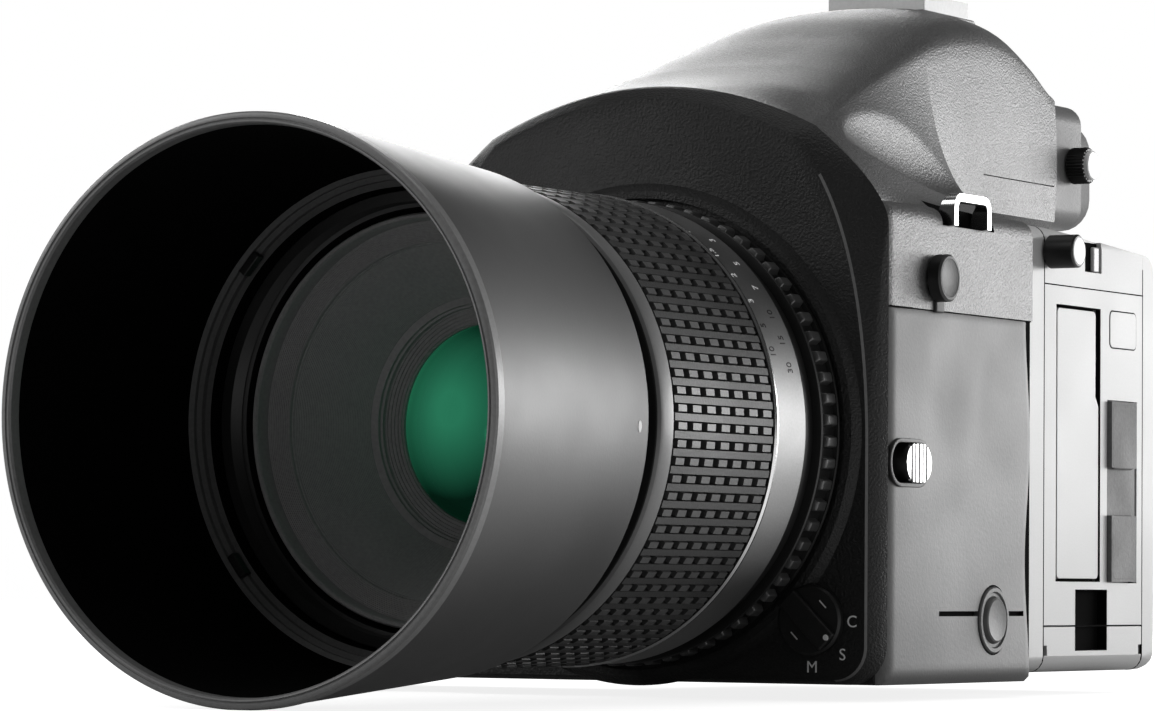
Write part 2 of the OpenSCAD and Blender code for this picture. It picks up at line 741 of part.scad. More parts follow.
// One strap lug: two feet on the face at x, joined by a bar that stands off it
module lug(x) {
    out = skin + lug_out;
    side = lug_w / 2;
    gap = side - lug_bar;
    top = lug_floor + lug_h;
    difference() {
        block([x, lug_y - side, lug_floor], [x + out, lug_y + side, top]);
        block([x - past, lug_y - gap, lug_floor - past], [x + out + past, lug_y + gap, top - lug_bar]);
        block([x - past, lug_y - gap, lug_floor], [x + out - lug_bar, lug_y + gap, top + past]);
    }
}

// Strap lugs on both sides
module strap_lugs() color("gainsboro") {
    lug(chassis_half_w);
    translate([-grip_reach, 0, grip_h - grip_lug_drop - lug_floor]) mirror([1, 0, 0]) lug(0);
}

// Flash sync terminal under its cap
module sync_terminal() color("silver") difference() {
    rod_x(chassis_half_w - terminal_r, body_half_w + 1.2, cap_y, cap_z, terminal_r);
    rod_x(body_half_w - 2, body_half_w + 1.2 + past, cap_y, cap_z, terminal_r - 0.8);
}

// Shutter frame with the channel for its blades
module shutter_frame() color("#404142") difference() {
    block([-pocket_half_w, pocket_front, pocket_floor], [pocket_half_w, gate_y, pocket_top]);
    block([-gate_half_w, pocket_front - past, gate_floor], [gate_half_w, gate_y + past, gate_top]);
    block([-blade_half_w - blade_gap, blade_y - blade_gap, pocket_floor + 1],
          [blade_half_w + blade_gap, blade_y - blade_gap + channel_t, gate_top + blade_lap + 0.6]);
}

// Reflex mirror on its hinge pin, lowered to 45 degrees
module mirror_plate() color("lightsteelblue") translate([0, hinge_y, hinge_z]) rotate([45, 0, 0]) {
    block([-mirror_half_w, -mirror_l, -mirror_t / 2], [mirror_half_w, 0, mirror_t / 2]);
    rod_x(-chamber_half_w - pin_reach, chamber_half_w + pin_reach, 0, 0, hinge_r);
}

// Shutter blade, counted from the lowest
module shutter_blade(i) {
    y = blade_y + (i - 1) * (blade_t + blade_gap);
    z = gate_floor + (i - 1) * blade_pitch;
    color("#2f3032") block([-blade_half_w, y, z - blade_lap],
                           [blade_half_w, y + blade_t, z + blade_pitch + blade_lap]);
}

// Ribbed lens release slider in its slot
module release_slider() {
    gap = slide_gap / 2;
    h = slider_slot[1] - 2 * gap;
    mid = slider_y + (slider_slot[0] - slider_l) / 2 - gap;
    top = body_half_w + slider_out;
    color("silver") difference() {
        slot_x(chassis_half_w - slider_depth + gap, top, mid, slider_z, slider_l, h);
        for (i = [-2:2]) translate([0, mid + i * rib_pitch, slider_z])
            block([top - 0.6, -rib_gap / 2, -h], [top + past, rib_gap / 2, h]);
    }
}

// Pull-off cap of the sync terminal
module sync_cap() color("#303133") difference() {
    rod_x(body_half_w + 0.3, body_half_w + 0.3 + cap_h, cap_y, cap_z, cap_r);
    rod_x(body_half_w, body_half_w + 1.2 + slide_gap, cap_y, cap_z, terminal_r + slide_gap);
}

// Pull-off cap of the remote control port
module port_cap() color("#505153") {
    rod_x(chassis_half_w + 0.2, body_half_w + 0.5, port_y, port_z, port_r - slide_gap);
    rod_x(body_half_w, body_half_w + 1.1, port_y, port_z, port_inner_r);
    rod_x(chassis_half_w - port_seat + 0.2, chassis_half_w + past, port_y, port_z, port_inner_r - slide_gap);
}

// Focus mode dial with its pointer bar, drawn pointing at the middle setting
module focus_mode_dial() color("black") {
    face = front_face + 0.15;
    rod_y(-face - dial_h_out, -face, dial_x, dial_h, dial_r);
    rod_y(-face - past / 2, -front_face + dial_shaft_l, dial_x, dial_h, dial_shaft_r);
    translate([dial_x, -face - dial_h_out, dial_h]) rotate([0, 45, 0])
        block([-1.2, -1.2, -dial_r + 0.5], [1.2, 0.3, dial_r - 0.5]);
}

// Knurled eyesight knob of the finder
module diopter_knob() color("#303031") {
    x = eyepiece_half_w + slide_gap;
    translate([x, knob_y, window_z]) rotate([90, 0, 90]) linear_extrude(knob_l - 1)
        polygon([for (i = [0:71]) (i % 2 == 0 ? knob_r : knob_r - 0.35) * [cos(5 * i), sin(5 * i)]]);
    rod_x(x + knob_l - 1, x + knob_l, knob_y, window_z, knob_r - 0.7);
    rod_x(eyepiece_half_w - 4.5, x + past / 2, knob_y, window_z, knob_stem_r);
}

// Hand grip with its battery chamber
module hand_grip() color("#1d1d1e") difference() {
    difference() {
        loft([for (e = concat(grip_edge, [[grip_h + 2 * past, grip_top_inset]]))
            let (plan = rounded(inset(grip_plan, e[1]), grip_corner_r, 5))
            [for (p = plan) [each p, e[0]]]]);
        block([-2 * grip_reach, -4 * body_front, grip_h], [grip_reach, 4 * body_rear, grip_h + 4 * past]);
    }
    block([-chassis_half_w, -2 * body_front, -past], [0, 2 * body_rear, grip_h + past]);
    block([-body_half_w, -2 * body_front, band_h], [0, 2 * body_rear, grip_h + past]);
    block([holder[0][0] - grip_wall, holder[1][0] - grip_wall, -past],
          [holder[0][1] + grip_wall, holder[1][1] + grip_wall, base_t + slide_gap]);
    block([holder[0][0], holder[1][0], 0], [holder[0][1], holder[1][1], holder[2][1]]);
    rod_z(grip_h - 3, grip_h + past, button_place[0], button_place[1], shutter_r + slide_gap);
    rod_z(grip_h - 6, grip_h + past, button_place[0], button_place[1], axle_r + shaft_gap);
    wheel_space(front_dial_place, front_dial_r, front_dial_w);
    wheel_space(rear_dial_place, rear_dial_r, rear_dial_w);
}

// Room and axle bore for a thumb or finger wheel that turns about X
module wheel_space(p, r, w) {
    rod_x(p[0] - w / 2 - slide_gap, p[0] + w / 2 + slide_gap, p[1], p[2], r + slide_gap);
    rod_x(p[0] - w / 2 - 4, p[0] + w / 2 + 4, p[1], p[2], axle_r + shaft_gap);
}

// Milled wheel with its axle
module wheel(p, r, w) {
    translate([p[0] - w / 2, p[1], p[2]]) rotate([90, 0, 90]) linear_extrude(w)
        polygon([for (i = [0:71]) (i % 2 == 0 ? r : r - 0.5) * [cos(5 * i), sin(5 * i)]]);
    rod_x(p[0] - w / 2 - 3.6, p[0] + w / 2 + 3.6, p[1], p[2], axle_r);
}
module front_dial() color("black") wheel(front_dial_place, front_dial_r, front_dial_w);
module rear_dial() color("black") wheel(rear_dial_place, rear_dial_r, rear_dial_w);

// Rubber wrap on the outer side of the grip
module grip_rubber() color("#2a2a2b") translate([0, 0, rubber_z[0]]) linear_extrude(rubber_z[1] - rubber_z[0])
    difference() {
        polygon(rounded(inset(grip_plan, -rubber_t), grip_corner_r + rubber_t));
        polygon(rounded(grip_plan, grip_corner_r));
        translate([rubber_in - grip_reach, -2 * grip_front]) square(4 * grip_front);
    }

// Battery holder in the grip
module grip_battery_holder() color("#3c3c3d") difference() {
    block([holder[0][0] + slide_gap, holder[1][0] + slide_gap, base_t],
          [holder[0][1] - slide_gap, holder[1][1] - slide_gap, holder[2][1] - slide_gap]);
    for (i = [0, 1], j = [0:2])
        rod_z(base_t + 2, holder[2][1] + past, holder[0][0] + 7.5 + 15 * i, holder[1][0] + 7 + 14 * j, 6.2);
}

// Cover under the battery holder
module grip_battery_cover() color("#1d1d1e")
    block([holder[0][0] - grip_wall + slide_gap, holder[1][0] - grip_wall + slide_gap, 0],
          [holder[0][1] + grip_wall - slide_gap, holder[1][1] + grip_wall - slide_gap, base_t]);

// Shutter button
module shutter_button() color("silver") {
    rod_z(grip_h - 0.6, grip_h + shutter_out, button_place[0], button_place[1], shutter_r);
    rod_z(grip_h - 4, grip_h, button_place[0], button_place[1], axle_r);
}

// Rear barrel of the lens: bayonet, bumped ring and groove
module lens_rear_barrel() color("black") on_axis() {
    in_r = bayonet_r - bayonet_t;
    boss_r = mount_outer_r - 0.3;
    rotate_extrude() polygon([
        [in_r, bayonet_d], [bayonet_r, bayonet_d], [bayonet_r, flange_d], [boss_r, flange_d],
        [boss_r, bump_start], [bump_base_r, bump_start], [bump_base_r, bump_d], [neck_r, bump_d],
        [neck_r, band_d], [sleeve_r, band_d], [sleeve_r, sleeve_d], [in_r, sleeve_d]
    ]);
    translate([0, 0, bump_start + 0.5]) linear_extrude(bump_d - bump_start - 1) difference() {
        polygon([
            for (i = [0:bump_count * 6 - 1])
                let (a = 60 * i / bump_count) bumped(a) * [cos(a), sin(a)]
        ]);
        circle(r = bump_base_r - 1);
    }
}

// Radius over the bumps at an angle
function bumped(a) = bump_r - bump_depth * pow(abs(cos(a * bump_count / 2)), 3);

// Silver band with the distance scale
module lens_scale_band() color("silver") on_axis() rotate_extrude() polygon([
    [sleeve_r, band_d], [band_r, band_d], [band_front_r, band_end_d - 0.8],
    [band_front_r + 0.2, band_end_d - 0.6], [band_front_r + 0.2, band_end_d - 0.2],
    [band_front_r, band_end_d], [sleeve_r, band_end_d]
]);

// Inner sleeve that the focus ring turns on
module lens_sleeve() color("dimgray") on_axis() rotate_extrude() polygon([
    [sleeve_in_r, sleeve_d], [sleeve_r, sleeve_d], [sleeve_r, sleeve_end], [sleeve_in_r, sleeve_end]
]);

// Filter ring with its thread and the hood's bayonet seat
module filter_ring() color("#202021") on_axis() rotate_extrude() polygon([
    [sleeve_r, ring_d + 0.5], [filter_outer_r, ring_d + 0.5], [filter_outer_r, filter_d],
    [filter_r, filter_d], [filter_r, thread_d], [filter_r - 0.6, thread_d],
    [filter_r - 0.6, sleeve_end], [sleeve_r, sleeve_end]
]);

// Focus ring under the rubber grip
module focus_ring() color("#262627") on_axis() rotate_extrude() polygon([
    [ring_in_r, ring_start], [ring_wall_r, ring_start], [ring_wall_r, grip_d], [lip_r, grip_d],
    [lip_r, ring_d - 0.6], [lip_r - 0.6, ring_d], [ring_in_r, ring_d]
]);

// Rubber grip with its ribs
module focus_grip() {
    base_r = grip_r - block_h;
    rib = [[0.1, base_r], [0.2, grip_r], [0.8, grip_r], [0.9, base_r]];
    color("#161617") on_axis() translate([0, 0, ring_start]) linear_extrude(grip_d - ring_start)
        difference() {
            polygon([
                for (i = [0:grip_rows - 1], c = rib)
                    let (a = 360 / grip_rows * (i + c[0])) c[1] * [cos(a), sin(a)]
            ]);
            circle(r = ring_wall_r);
        }
}

// Sliding carriage with the stepped light baffle
module lens_carriage() color("#121213") on_axis() rotate_extrude() polygon(concat(
    [[cell_r, carriage_start], [carriage_r, carriage_start], [carriage_r, baffle_d], [baffle_r, baffle_d]],
    [for (i = [0:baffle_steps - 1], k = [0, 1])
        [baffle_r - (baffle_r - throat_r) * i / baffle_steps,
         baffle_d - 4 - (baffle_d - 4 - throat_d) * (i + k) / baffle_steps]],
    [[throat_r, throat_d], [glass_r + 0.5, throat_d - 1], [glass_r + 0.5, glass_d + 1.6],
     [glass_r - glass_lip, glass_d + 0.6], [glass_r - glass_lip, glass_d],
     [glass_r, glass_d], [glass_r, glass_seat - 12], [cell_r, glass_seat - 12]]
));

// Front glass with its bulging face
module front_element() color("darkgreen") on_axis() intersection() {
    translate([0, 0, glass_seat]) cylinder(h = 20, r = glass_r);
    translate([0, 0, glass_d + 2 - 46]) sphere(r = 46);
    translate([0, 0, glass_d - 40]) rotate_extrude() polygon([
        [0, 0], [glass_r, 0], [glass_r, 40], [glass_r - glass_lip, 40], [glass_r - glass_lip, 44], [0, 44]
    ]);
}

// Rear glass with its hollow face
module rear_element() color("darkgreen") on_axis() rotate_extrude() polygon(concat(
    [[cell_r, glass_seat - 12], [0, glass_seat - 12]],
    [for (i = [0:6]) [cell_r * 0.8 * i / 6, carriage_start + 2.4 * cos(90 * i / 6)]],
    [[cell_r, carriage_start]]
));

// Sealed leaf shutter and iris unit between the glasses
module leaf_unit() color("#404040") on_axis() translate([0, 0, glass_seat - 12]) difference() {
    cylinder(h = 12, r = glass_r);
    translate([0, 0, -past]) cylinder(h = 12 + 2 * past, r = glass_r - 7);
}

// Round lens hood with its bayonet floor
module hood() color("#1b1b1c") on_axis() difference() {
    rotate_extrude($fn = 160) polygon([
        [hood_bore_r, hood_d], [hood_rear_r - 0.8, hood_d], [hood_rear_r, hood_d + 0.8],
        [hood_rim_r, hood_rim_d - 2.4], [hood_rim_r, hood_rim_d - 0.5], [hood_rim_r - 0.5, hood_rim_d],
        [hood_rim_r - hood_wall + 0.4, hood_rim_d], [hood_rim_r - hood_wall, hood_rim_d - 0.4],
        [hood_floor_r, hood_floor_d], [hood_bore_r, hood_floor_d]
    ]);
    for (a = [20, 200]) rotate([0, 0, a]) translate([filter_outer_r - 1, -3, hood_floor_d - 3])
        cube([hood_floor_r - filter_outer_r, 6, 3 + past]);
}

// Whole outer form of the digital back
module back_form() intersection() {
    depth(back_front, back_rear) polygon(rounded([
        [-back_half_w, back_floor], [back_half_w, back_floor],
        [back_half_w, back_peak], [-back_half_w, back_peak]
    ], back_edge_r, 4));
    width(-back_half_w, back_half_w) polygon(concat(
        [[back_front, back_floor]],
        corner([back_front, back_floor], [back_rear, back_floor], [back_rear, back_top_rear_h], 4),
        corner([back_rear, back_floor], [back_rear, back_top_rear_h], [back_seam, back_top_h], 4),
        [[back_seam, back_top_h], [back_front, back_top_h]]
    ));
}

// Part of the outer form between two planes and two heights
module back_part(y0, y1, z0, z1) intersection() {
    back_form();
    block([-back_half_w - past, y0, z0], [back_half_w + past, y1, z1]);
}

// Hollow under the sloping top
module back_hollow() width(-back_half_w + back_wall, back_half_w - back_wall) polygon([
    [back_seam - past, battery_seam], [back_rear_seam + past, battery_seam],
    [back_rear_seam + past, back_top_rear_h - back_wall], [back_seam - past, back_top_h - back_wall]
]);

// Rail that the battery slides on
module battery_rail(y)
    block([battery_end, y - rail_out, rail_z - rail_h / 2],
          [back_half_w - 2, y + rail_out, rail_z + rail_h / 2]);

// Front frame of the digital back round the sensor
module back_frame() color("silver") {
    difference() {
        back_part(back_front - past, back_seam, 0, back_peak + past);
        block([-frame_half_w, back_front - past, axis_h - frame_half_h],
              [frame_half_w, back_seam + past, axis_h + frame_half_h]);
    }
    battery_rail(back_seam);
}

// Case of the digital back, with bays for the card, the ports and the battery
module back_case() color("gainsboro") difference() {
    back_part(back_seam, back_rear_seam, 0, top_seam);
    block([-back_half_w + back_wall, back_seam - past, battery_seam + back_wall],
          [back_half_w - back_wall, back_rear_seam + past, top_seam + past]);
    block([battery_end - battery_gap, back_seam - past, 0],
          [back_half_w + past, back_rear_seam + past, battery_seam]);
    card_bay();
    port_bay();
    finger_notch();
}

// Room for the card door, its hinge pins and the card slot behind it
module card_bay() {
    x = back_half_w - door_t - 0.2;
    block([x, door_y - door_gap, door_floor - door_gap],
          [back_half_w + past, door_y + door_w + door_gap, door_top + door_gap]);
    block([back_half_w - back_wall - past, door_y + bay_inset, door_floor + bay_inset],
          [back_half_w, door_y + door_w - bay_inset, door_top - bay_inset]);
    rod_z(door_floor - door_pin_l - slide_gap, door_top + door_pin_l + slide_gap, door_pin_x,
          door_y + door_t / 2, door_pin_r + shaft_gap);
}

// Recess for the rubber port cover, with the sockets' window behind it
module port_bay() {
    block([back_half_w - cover_t - 0.2, cover_y[0] - door_gap, cover_z[0] - door_gap],
          [back_half_w + past, cover_y[1] + door_gap, cover_z[1] + door_gap]);
    block([back_half_w - back_wall - past, cover_y[0] + bay_inset, cover_z[0] + bay_inset],
          [back_half_w, cover_y[1] - bay_inset - 1, cover_z[1] - bay_inset]);
    rod_z(cover_z[0] - door_pin_l - slide_gap, cover_z[1] + door_pin_l + slide_gap, cover_pin_x,
          cover_y[1] - cover_t / 2, hinge_pin_r + shaft_gap);
}

// Finger notch above the battery
module finger_notch()
    block([back_half_w - notch_depth, notch_y[0], notch_floor], [back_half_w + past, notch_y[1], notch_top]);

// Top cover of the digital back with the slot of the release knob
module back_top() color("gainsboro") difference() {
    back_part(back_seam, back_rear_seam, top_seam, back_peak + past);
    back_hollow();
    slot_x(back_half_w - back_wall - past, back_half_w + past, lock_y + lock_travel / 2, lock_z,
           lock_travel + 2 * (lock_stem_r + slide_gap), 2 * (lock_stem_r + slide_gap));
    block([back_half_w - catch_depth, catch_y[0], top_seam + catch_rise],
          [back_half_w + past, catch_y[1], back_peak + past]);
}

// Rear cover with the display window and the button holes
module back_rear_cover() color("#505152") {
    difference() {
        back_part(back_rear_seam, back_rear + past, 0, back_peak + past);
        block([-display_half[0], back_rear_seam - past, display_z - display_half[1]],
              [display_half[0], back_rear + past, display_z + display_half[1]]);
        for (s = [-1, 1], z = button_z) {
            rod_y(back_rear_seam + 1.2, back_rear + past, s * button_x, z, button_r + slide_gap);
            rod_y(back_rear_seam - past, back_rear, s * button_x, z, axle_r + shaft_gap);
        }
    }
    battery_rail(back_rear_seam);
}

// Sensor module behind the frame's opening
module sensor_module() color("#0a3a2a")
    block([-frame_half_w, sensor_y, axis_h - frame_half_h], [frame_half_w, back_seam, axis_h + frame_half_h]);

// Main circuit board across the case
module main_board() color("green") block([-back_half_w + back_wall, board_y, battery_seam + back_wall],
    [back_half_w - back_wall - 4, board_y + board_t, top_seam - 2]);

// Display panel in the rear cover's window
module display_panel() color("#15181c")
    block([-display_half[0], back_rear_seam, display_z - display_half[1]],
          [display_half[0], back_rear - 0.6, display_z + display_half[1]]);

// Card door on two hinge pins, with a finger dent at its free edge
module card_door() {
    x = back_half_w - door_t;
    y = door_y + door_t / 2;
    color("gainsboro") difference() {
        union() {
            block([x, y, door_floor], [back_half_w - 0.1, door_y + door_w, door_top]);
            rod_z(door_floor - door_pin_l, door_top + door_pin_l, door_pin_x, y, door_pin_r);
        }
        rod_z(door_top - dent_l, door_top + past, back_half_w + dent_r - 0.6, door_y + door_w - 1.5, dent_r);
    }
}

// Rubber port cover with two raised pads
module port_cover() {
    x = back_half_w - cover_t;
    y = cover_y[1] - cover_t / 2;
    color("#3a3a3b") {
        block([x, cover_y[0], cover_z[0]], [back_half_w - 0.1, y, cover_z[1]]);
        rod_z(cover_z[0] - door_pin_l, cover_z[1] + door_pin_l, cover_pin_x, y, hinge_pin_r);
        for (z = [cover_z[0], cover_z[1] - pad_h])
            block([x, cover_y[0], z], [back_half_w + pad_t, y - 1.2, z + pad_h]);
    }
}

// Battery that slides out of the side
module battery() color("gainsboro") difference() {
    intersection() {
        back_part(back_seam + battery_gap, back_rear_seam - battery_gap, 0, battery_seam - battery_gap);
        block([battery_end, back_seam, 0], [back_half_w + past, back_rear_seam, battery_seam]);
    }
    for (y = [back_seam, back_rear_seam])
        block([battery_end - past, y - rail_out - battery_gap, rail_z - rail_h / 2 - battery_gap],
              [back_half_w + past, y + rail_out + battery_gap, rail_z + rail_h / 2 + battery_gap]);
    finger_notch();
}

// Release knob of the digital back
module release_knob() color("black") {
    rod_x(back_half_w + 0.3, back_half_w + lock_l, lock_y, lock_z, lock_r);
    rod_x(back_half_w - back_wall, back_half_w + past, lock_y, lock_z, lock_stem_r);
}

// Rear button, counted from the lower left
module rear_button(i) {
    x = (i % 2 == 1 ? -1 : 1) * button_x;
    z = button_z[i > 2 ? 1 : 0];
    color("#303031") {
        rod_y(back_rear_seam + 1.2 + button_travel + 0.3, back_rear + button_out, x, z, button_r);
        rod_y(back_rear_seam + 0.3, back_rear, x, z, axle_r);
    }
}

chassis();
gate_plate();
base_plate();
tripod_bush();
front_cover();
side_cover();
top_cover();
lens_mount_ring();
focusing_screen();
prism();
eyepiece_frame();
eyepiece_lens();
eyecup();
hot_shoe();
strap_lugs();
sync_terminal();
shutter_frame();
mirror_plate();  // mirror
for (i = [1:3]) shutter_blade(i);
release_slider();
sync_cap();
port_cap();
focus_mode_dial();
diopter_knob();
hand_grip();
grip_rubber();
grip_battery_holder();
grip_battery_cover();
shutter_button();
front_dial();
rear_dial();
lens_rear_barrel();
lens_scale_band();
lens_sleeve();
filter_ring();
focus_ring();
focus_grip();
lens_carriage();
front_element();
rear_element();
leaf_unit();
hood();
back_frame();
back_case();
back_top();
back_rear_cover();
sensor_module();
main_board();
display_panel();
card_door();
port_cover();
battery();
release_knob();
for (i = [1:4]) rear_button(i);
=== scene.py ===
import math
from itertools import product

import bmesh
import bpy
from mathutils import Matrix, Vector


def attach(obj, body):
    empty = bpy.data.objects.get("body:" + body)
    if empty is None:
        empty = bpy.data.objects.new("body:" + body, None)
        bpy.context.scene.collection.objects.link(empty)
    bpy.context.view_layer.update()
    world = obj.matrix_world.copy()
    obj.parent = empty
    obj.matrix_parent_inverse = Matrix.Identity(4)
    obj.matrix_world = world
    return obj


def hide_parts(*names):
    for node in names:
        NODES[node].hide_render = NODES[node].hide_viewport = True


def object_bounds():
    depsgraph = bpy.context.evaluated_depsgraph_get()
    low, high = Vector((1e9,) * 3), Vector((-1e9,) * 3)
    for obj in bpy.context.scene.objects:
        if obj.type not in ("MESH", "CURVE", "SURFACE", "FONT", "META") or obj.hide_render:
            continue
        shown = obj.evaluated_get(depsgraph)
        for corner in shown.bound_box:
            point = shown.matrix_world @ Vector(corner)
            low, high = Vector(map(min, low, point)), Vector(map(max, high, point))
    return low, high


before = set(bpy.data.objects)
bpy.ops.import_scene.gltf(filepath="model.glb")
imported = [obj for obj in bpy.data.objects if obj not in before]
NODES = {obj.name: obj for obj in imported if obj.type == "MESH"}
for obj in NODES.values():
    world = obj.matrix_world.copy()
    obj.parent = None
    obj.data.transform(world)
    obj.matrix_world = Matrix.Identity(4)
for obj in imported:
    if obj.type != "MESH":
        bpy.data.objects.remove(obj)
CAD_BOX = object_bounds()
MM = 0.001

# Camera at the photograph's viewing angle, in millimetres and degrees
CAMERA_PLACE = (438.70, -799.33, 17.19)
CAMERA_AZIMUTH = 30.473
CAMERA_ELEVATION = -2.610
CAMERA_ROLL = 0.4481
CAMERA_NEAR = 10.0
SENSOR_WIDTH = 36.0
FOCAL_PIXELS = 5000.0
PHOTO_WIDTH = 1155.0

# Stage in metres, with light levels where 1 is white
FULL_WHITE = 1.0
FLOOR_SIZE = 6.0
FLOOR_GREY = 0.5
# Floor glow: painted shade near the object, seen directly and in reflections, and painted light on its right
# side in reflections
FLOOR_FADE, FLOOR_PAINTED_SHADE_LEVEL = (0.2, 0.6), 0.84
FLOOR_MIRROR_FADE, FLOOR_MIRROR_PAINTED_SHADE = (0.15, 0.7), 0.03
FLOOR_PAINTED_LIT_SIDE = (0.04, 0.09)
WORLD_LIGHT = 0.2
STUDIO_DIM = 0.06

# Lit wall in reflections: where it fades upwards, to the front and to the left, as parts of a direction
WALL_UP, WALL_FRONT, WALL_LEFT = (0.3, 0.48), (-0.1, 0.5), (-0.6, 0.3)
WALL_LEFT_LEVEL = 0.12

# Lamps: name, place, target, size and watts
LAMPS = (
    ("side_strip", (0.62, 1.02, 0.14), (0, 0.02, 0.06), (1.0, 0.26), 7.0),
    ("roof_light", (-0.78, 0.85, 0.46), (0, 0.02, 0.1), (0.8, 0.4), 7.5),
    ("top_softbox", (0.05, 0.15, 1.15), (0, 0.02, 0.1), (0.9, 0.7), 3),
    ("front_fill", (-0.6, -0.9, 1.0), (0, -0.05, 0.07), (0.6, 0.6), 3),
    ("right_fill", (1.1, 0.0, 0.25), (0, 0.02, 0.06), (0.6, 0.3), 1.3),
    ("left_fill", (-1.0, -0.8, 0.55), (0, -0.02, 0.09), (0.6, 0.5), 5),
)

# Body sizes in millimetres, mostly as in the CAD part
AXIS_H = 43.7
BODY_HALF_W = 47.5
BODY_FRONT = 28.3
BODY_REAR = 29.4
SKIN = 2.4
CHASSIS_HALF_W = BODY_HALF_W - SKIN
FRONT_FACE = 32.3
FRONT_ROLL_R, FRONT_ROLL_BACK = 3.0, 0.5
FRONT_LEAN, FRONT_LEAN_L = 0.55, 16.0
DECK_H = 80.0
BAND_H = 65.7
SHOULDER_H = 83.6
SHOULDER_R = 3.0
SHOULDER_RISE, SHOULDER_BOW, SHOULDER_BOW_FALL = 0.6, 4.0, 3.4
SHOULDER_STEPS = 48
HUMP_REAR = 89.0
HUMP_FLOOR = 87.0
HUMP_TOP = 127.0
HUMP_FOOT, HUMP_BULGE, HUMP_WALL_STEPS = 1.5, 0.5, 10
HUMP_SEAM = ((22.0, 56.0, 95.3), (26.0, 88.0, 95.5))
FINDER_HALF_W, FINDER_DROP = 20.0, 17.0
WINDOW_HALF_W, WINDOW_Z = 13.0, (92.7, 107.7)
SHOE_Y = (59.0, 78.0)
SHOE_HALF_W = 10.4
SHOE_SEAT = HUMP_TOP + 0.8
MOUNT_OUTER_R = 33.4
MOUNT_CUT = (27.0, 34.0)

# Hump stations: distance back, ridge half width, ridge height, crown height, fullness of the roof's edge
RIDGE_RUN = (
    (-28.3, 33.0, 97.4, 105.6, 0.5),
    (-15.0, 30.5, 102.1, 107.8, 0.75),
    (0.0, 28.2, 106.8, 112.0, 0.85),
    (18.0, 26.3, 112.2, 118.4, 0.9),
    (36.0, 25.0, 117.2, 124.8, 0.9),
    (52.0, 24.4, 119.3, 127.8, 0.9),
    (62.0, 24.2, 119.6, 128.0, 0.9),
    (71.0, 24.1, 118.4, 127.0, 0.9),
    (80.0, 24.0, 115.9, 122.4, 0.9),
    (89.0, 24.0, 112.2, 116.5, 0.9),
)

# Scoop on the shoulder: middle and half size as distance back and share of the shoulder's curve
SCOOP_MID, SCOOP_HALF, SCOOP_FALL = (4.0, 0.64), (25.0, 0.21), 0.0077
SCOOP_DEPTH, SCOOP_SLANT = 3.2, 0.7

# Front cover from its face back: inset, floor, corner radius, top of side, bow, ridge, crown, distance
FRONT_SECTIONS = (
    (2.5, 0.9, 5.8, AXIS_H, (3.2, -2.9), (30.3, 95.5), 103.1, FRONT_FACE),
    (2.1, 0.6, 6.0, AXIS_H, (2.8, -2.6), (30.6, 95.8), 103.4, FRONT_FACE - 0.3),
    (0.5, 0.15, 6.8, SHOULDER_H - 12, (0.8, 1.0), (32.4, 96.7), 105.1, 30.1),
    (0.0, 0.0, 7.0, SHOULDER_H - 4, (0.3, 2.4), (33.0, 97.4), 105.6, 28.6),
    (0.25, 0.2, 6.9, SHOULDER_H - 4, (0.5, 2.2), (32.8, 97.2), 105.4, BODY_FRONT),
)
# Side edges of the front cover, behind its face, are painted a lighter grey: a painted highlight
HIGHLIGHT_EDGE_X, HIGHLIGHT_EDGE_D, HIGHLIGHT_EDGE_TILT = 36.0, FRONT_FACE - 0.31, 0.97

# Side cover and what sits in it
SIDE_COLUMNS, SIDE_ROWS, SIDE_CROWDING = 72, 72, 1.4
EDGE_WAVE, EDGE_WAVE_TURN = 1.0, 540.0
CAP_Y, CAP_Z, CAP_R = -10.3, 71.3, 4.2
PORT_Y, PORT_Z, PORT_R = 13.3, 11.2, 6.0
SLIDER_Y, SLIDER_Z, SLIDER_SLOT = -20.1, 38.6, (14.0, 7.0)
SLIDER_PIT_DEPTH = 2.9
GROOVE_Y, GROOVE_Z, GROOVE_W, GROOVE_DEPTH = (-8.5, 26.0), 11.9, 0.9, 0.8
# Dark strips before the digital back: painted shadow beside the side skin's rear edge
SHADOW_STRIP_Y = (BODY_REAR + 0.4, BODY_REAR + 6.9)

# Strap lugs: bent strip, its legs and the pocket on the right
LUG_Y, LUG_W, LUG_BAR, LUG_OUT = 1.9, 15.0, 1.6, 3.7
LUG_FOOT, LUG_TOP, LUG_CORNER_R = 77.8, 86.9, 1.9
LUG_LEG_SHARE, LUG_SPRING, LUG_STEP = 0.4, 1.2, 15
LUG_POCKET_Y, LUG_POCKET_Z, LUG_POCKET_R, LUG_POCKET_X = 2.8, 80.9, 10.4, 42.6
LEFT_LUG_X, LEFT_LUG_FOOT, LEFT_LUG_SILL, LEFT_LUG_TOP = -102.0, 61.8, 62.6, 68.4

# Focus mode dial on the front cover
DIAL_X, DIAL_H, DIAL_R, DIAL_TURN = 35.0, 11.2, 6.1, -45.0
DIAL_FACE = FRONT_FACE + 0.15
DIAL_BAR_FOOT, DIAL_BAR_T = DIAL_FACE + 1.45, 1.2
MODE_MARKS = (("M", 34.9, 3.0), ("S", 40.8, 5.2), ("C", 42.6, 10.9))
MODE_MARK_SIZE = 2.9
MARK_LIFT = 0.02

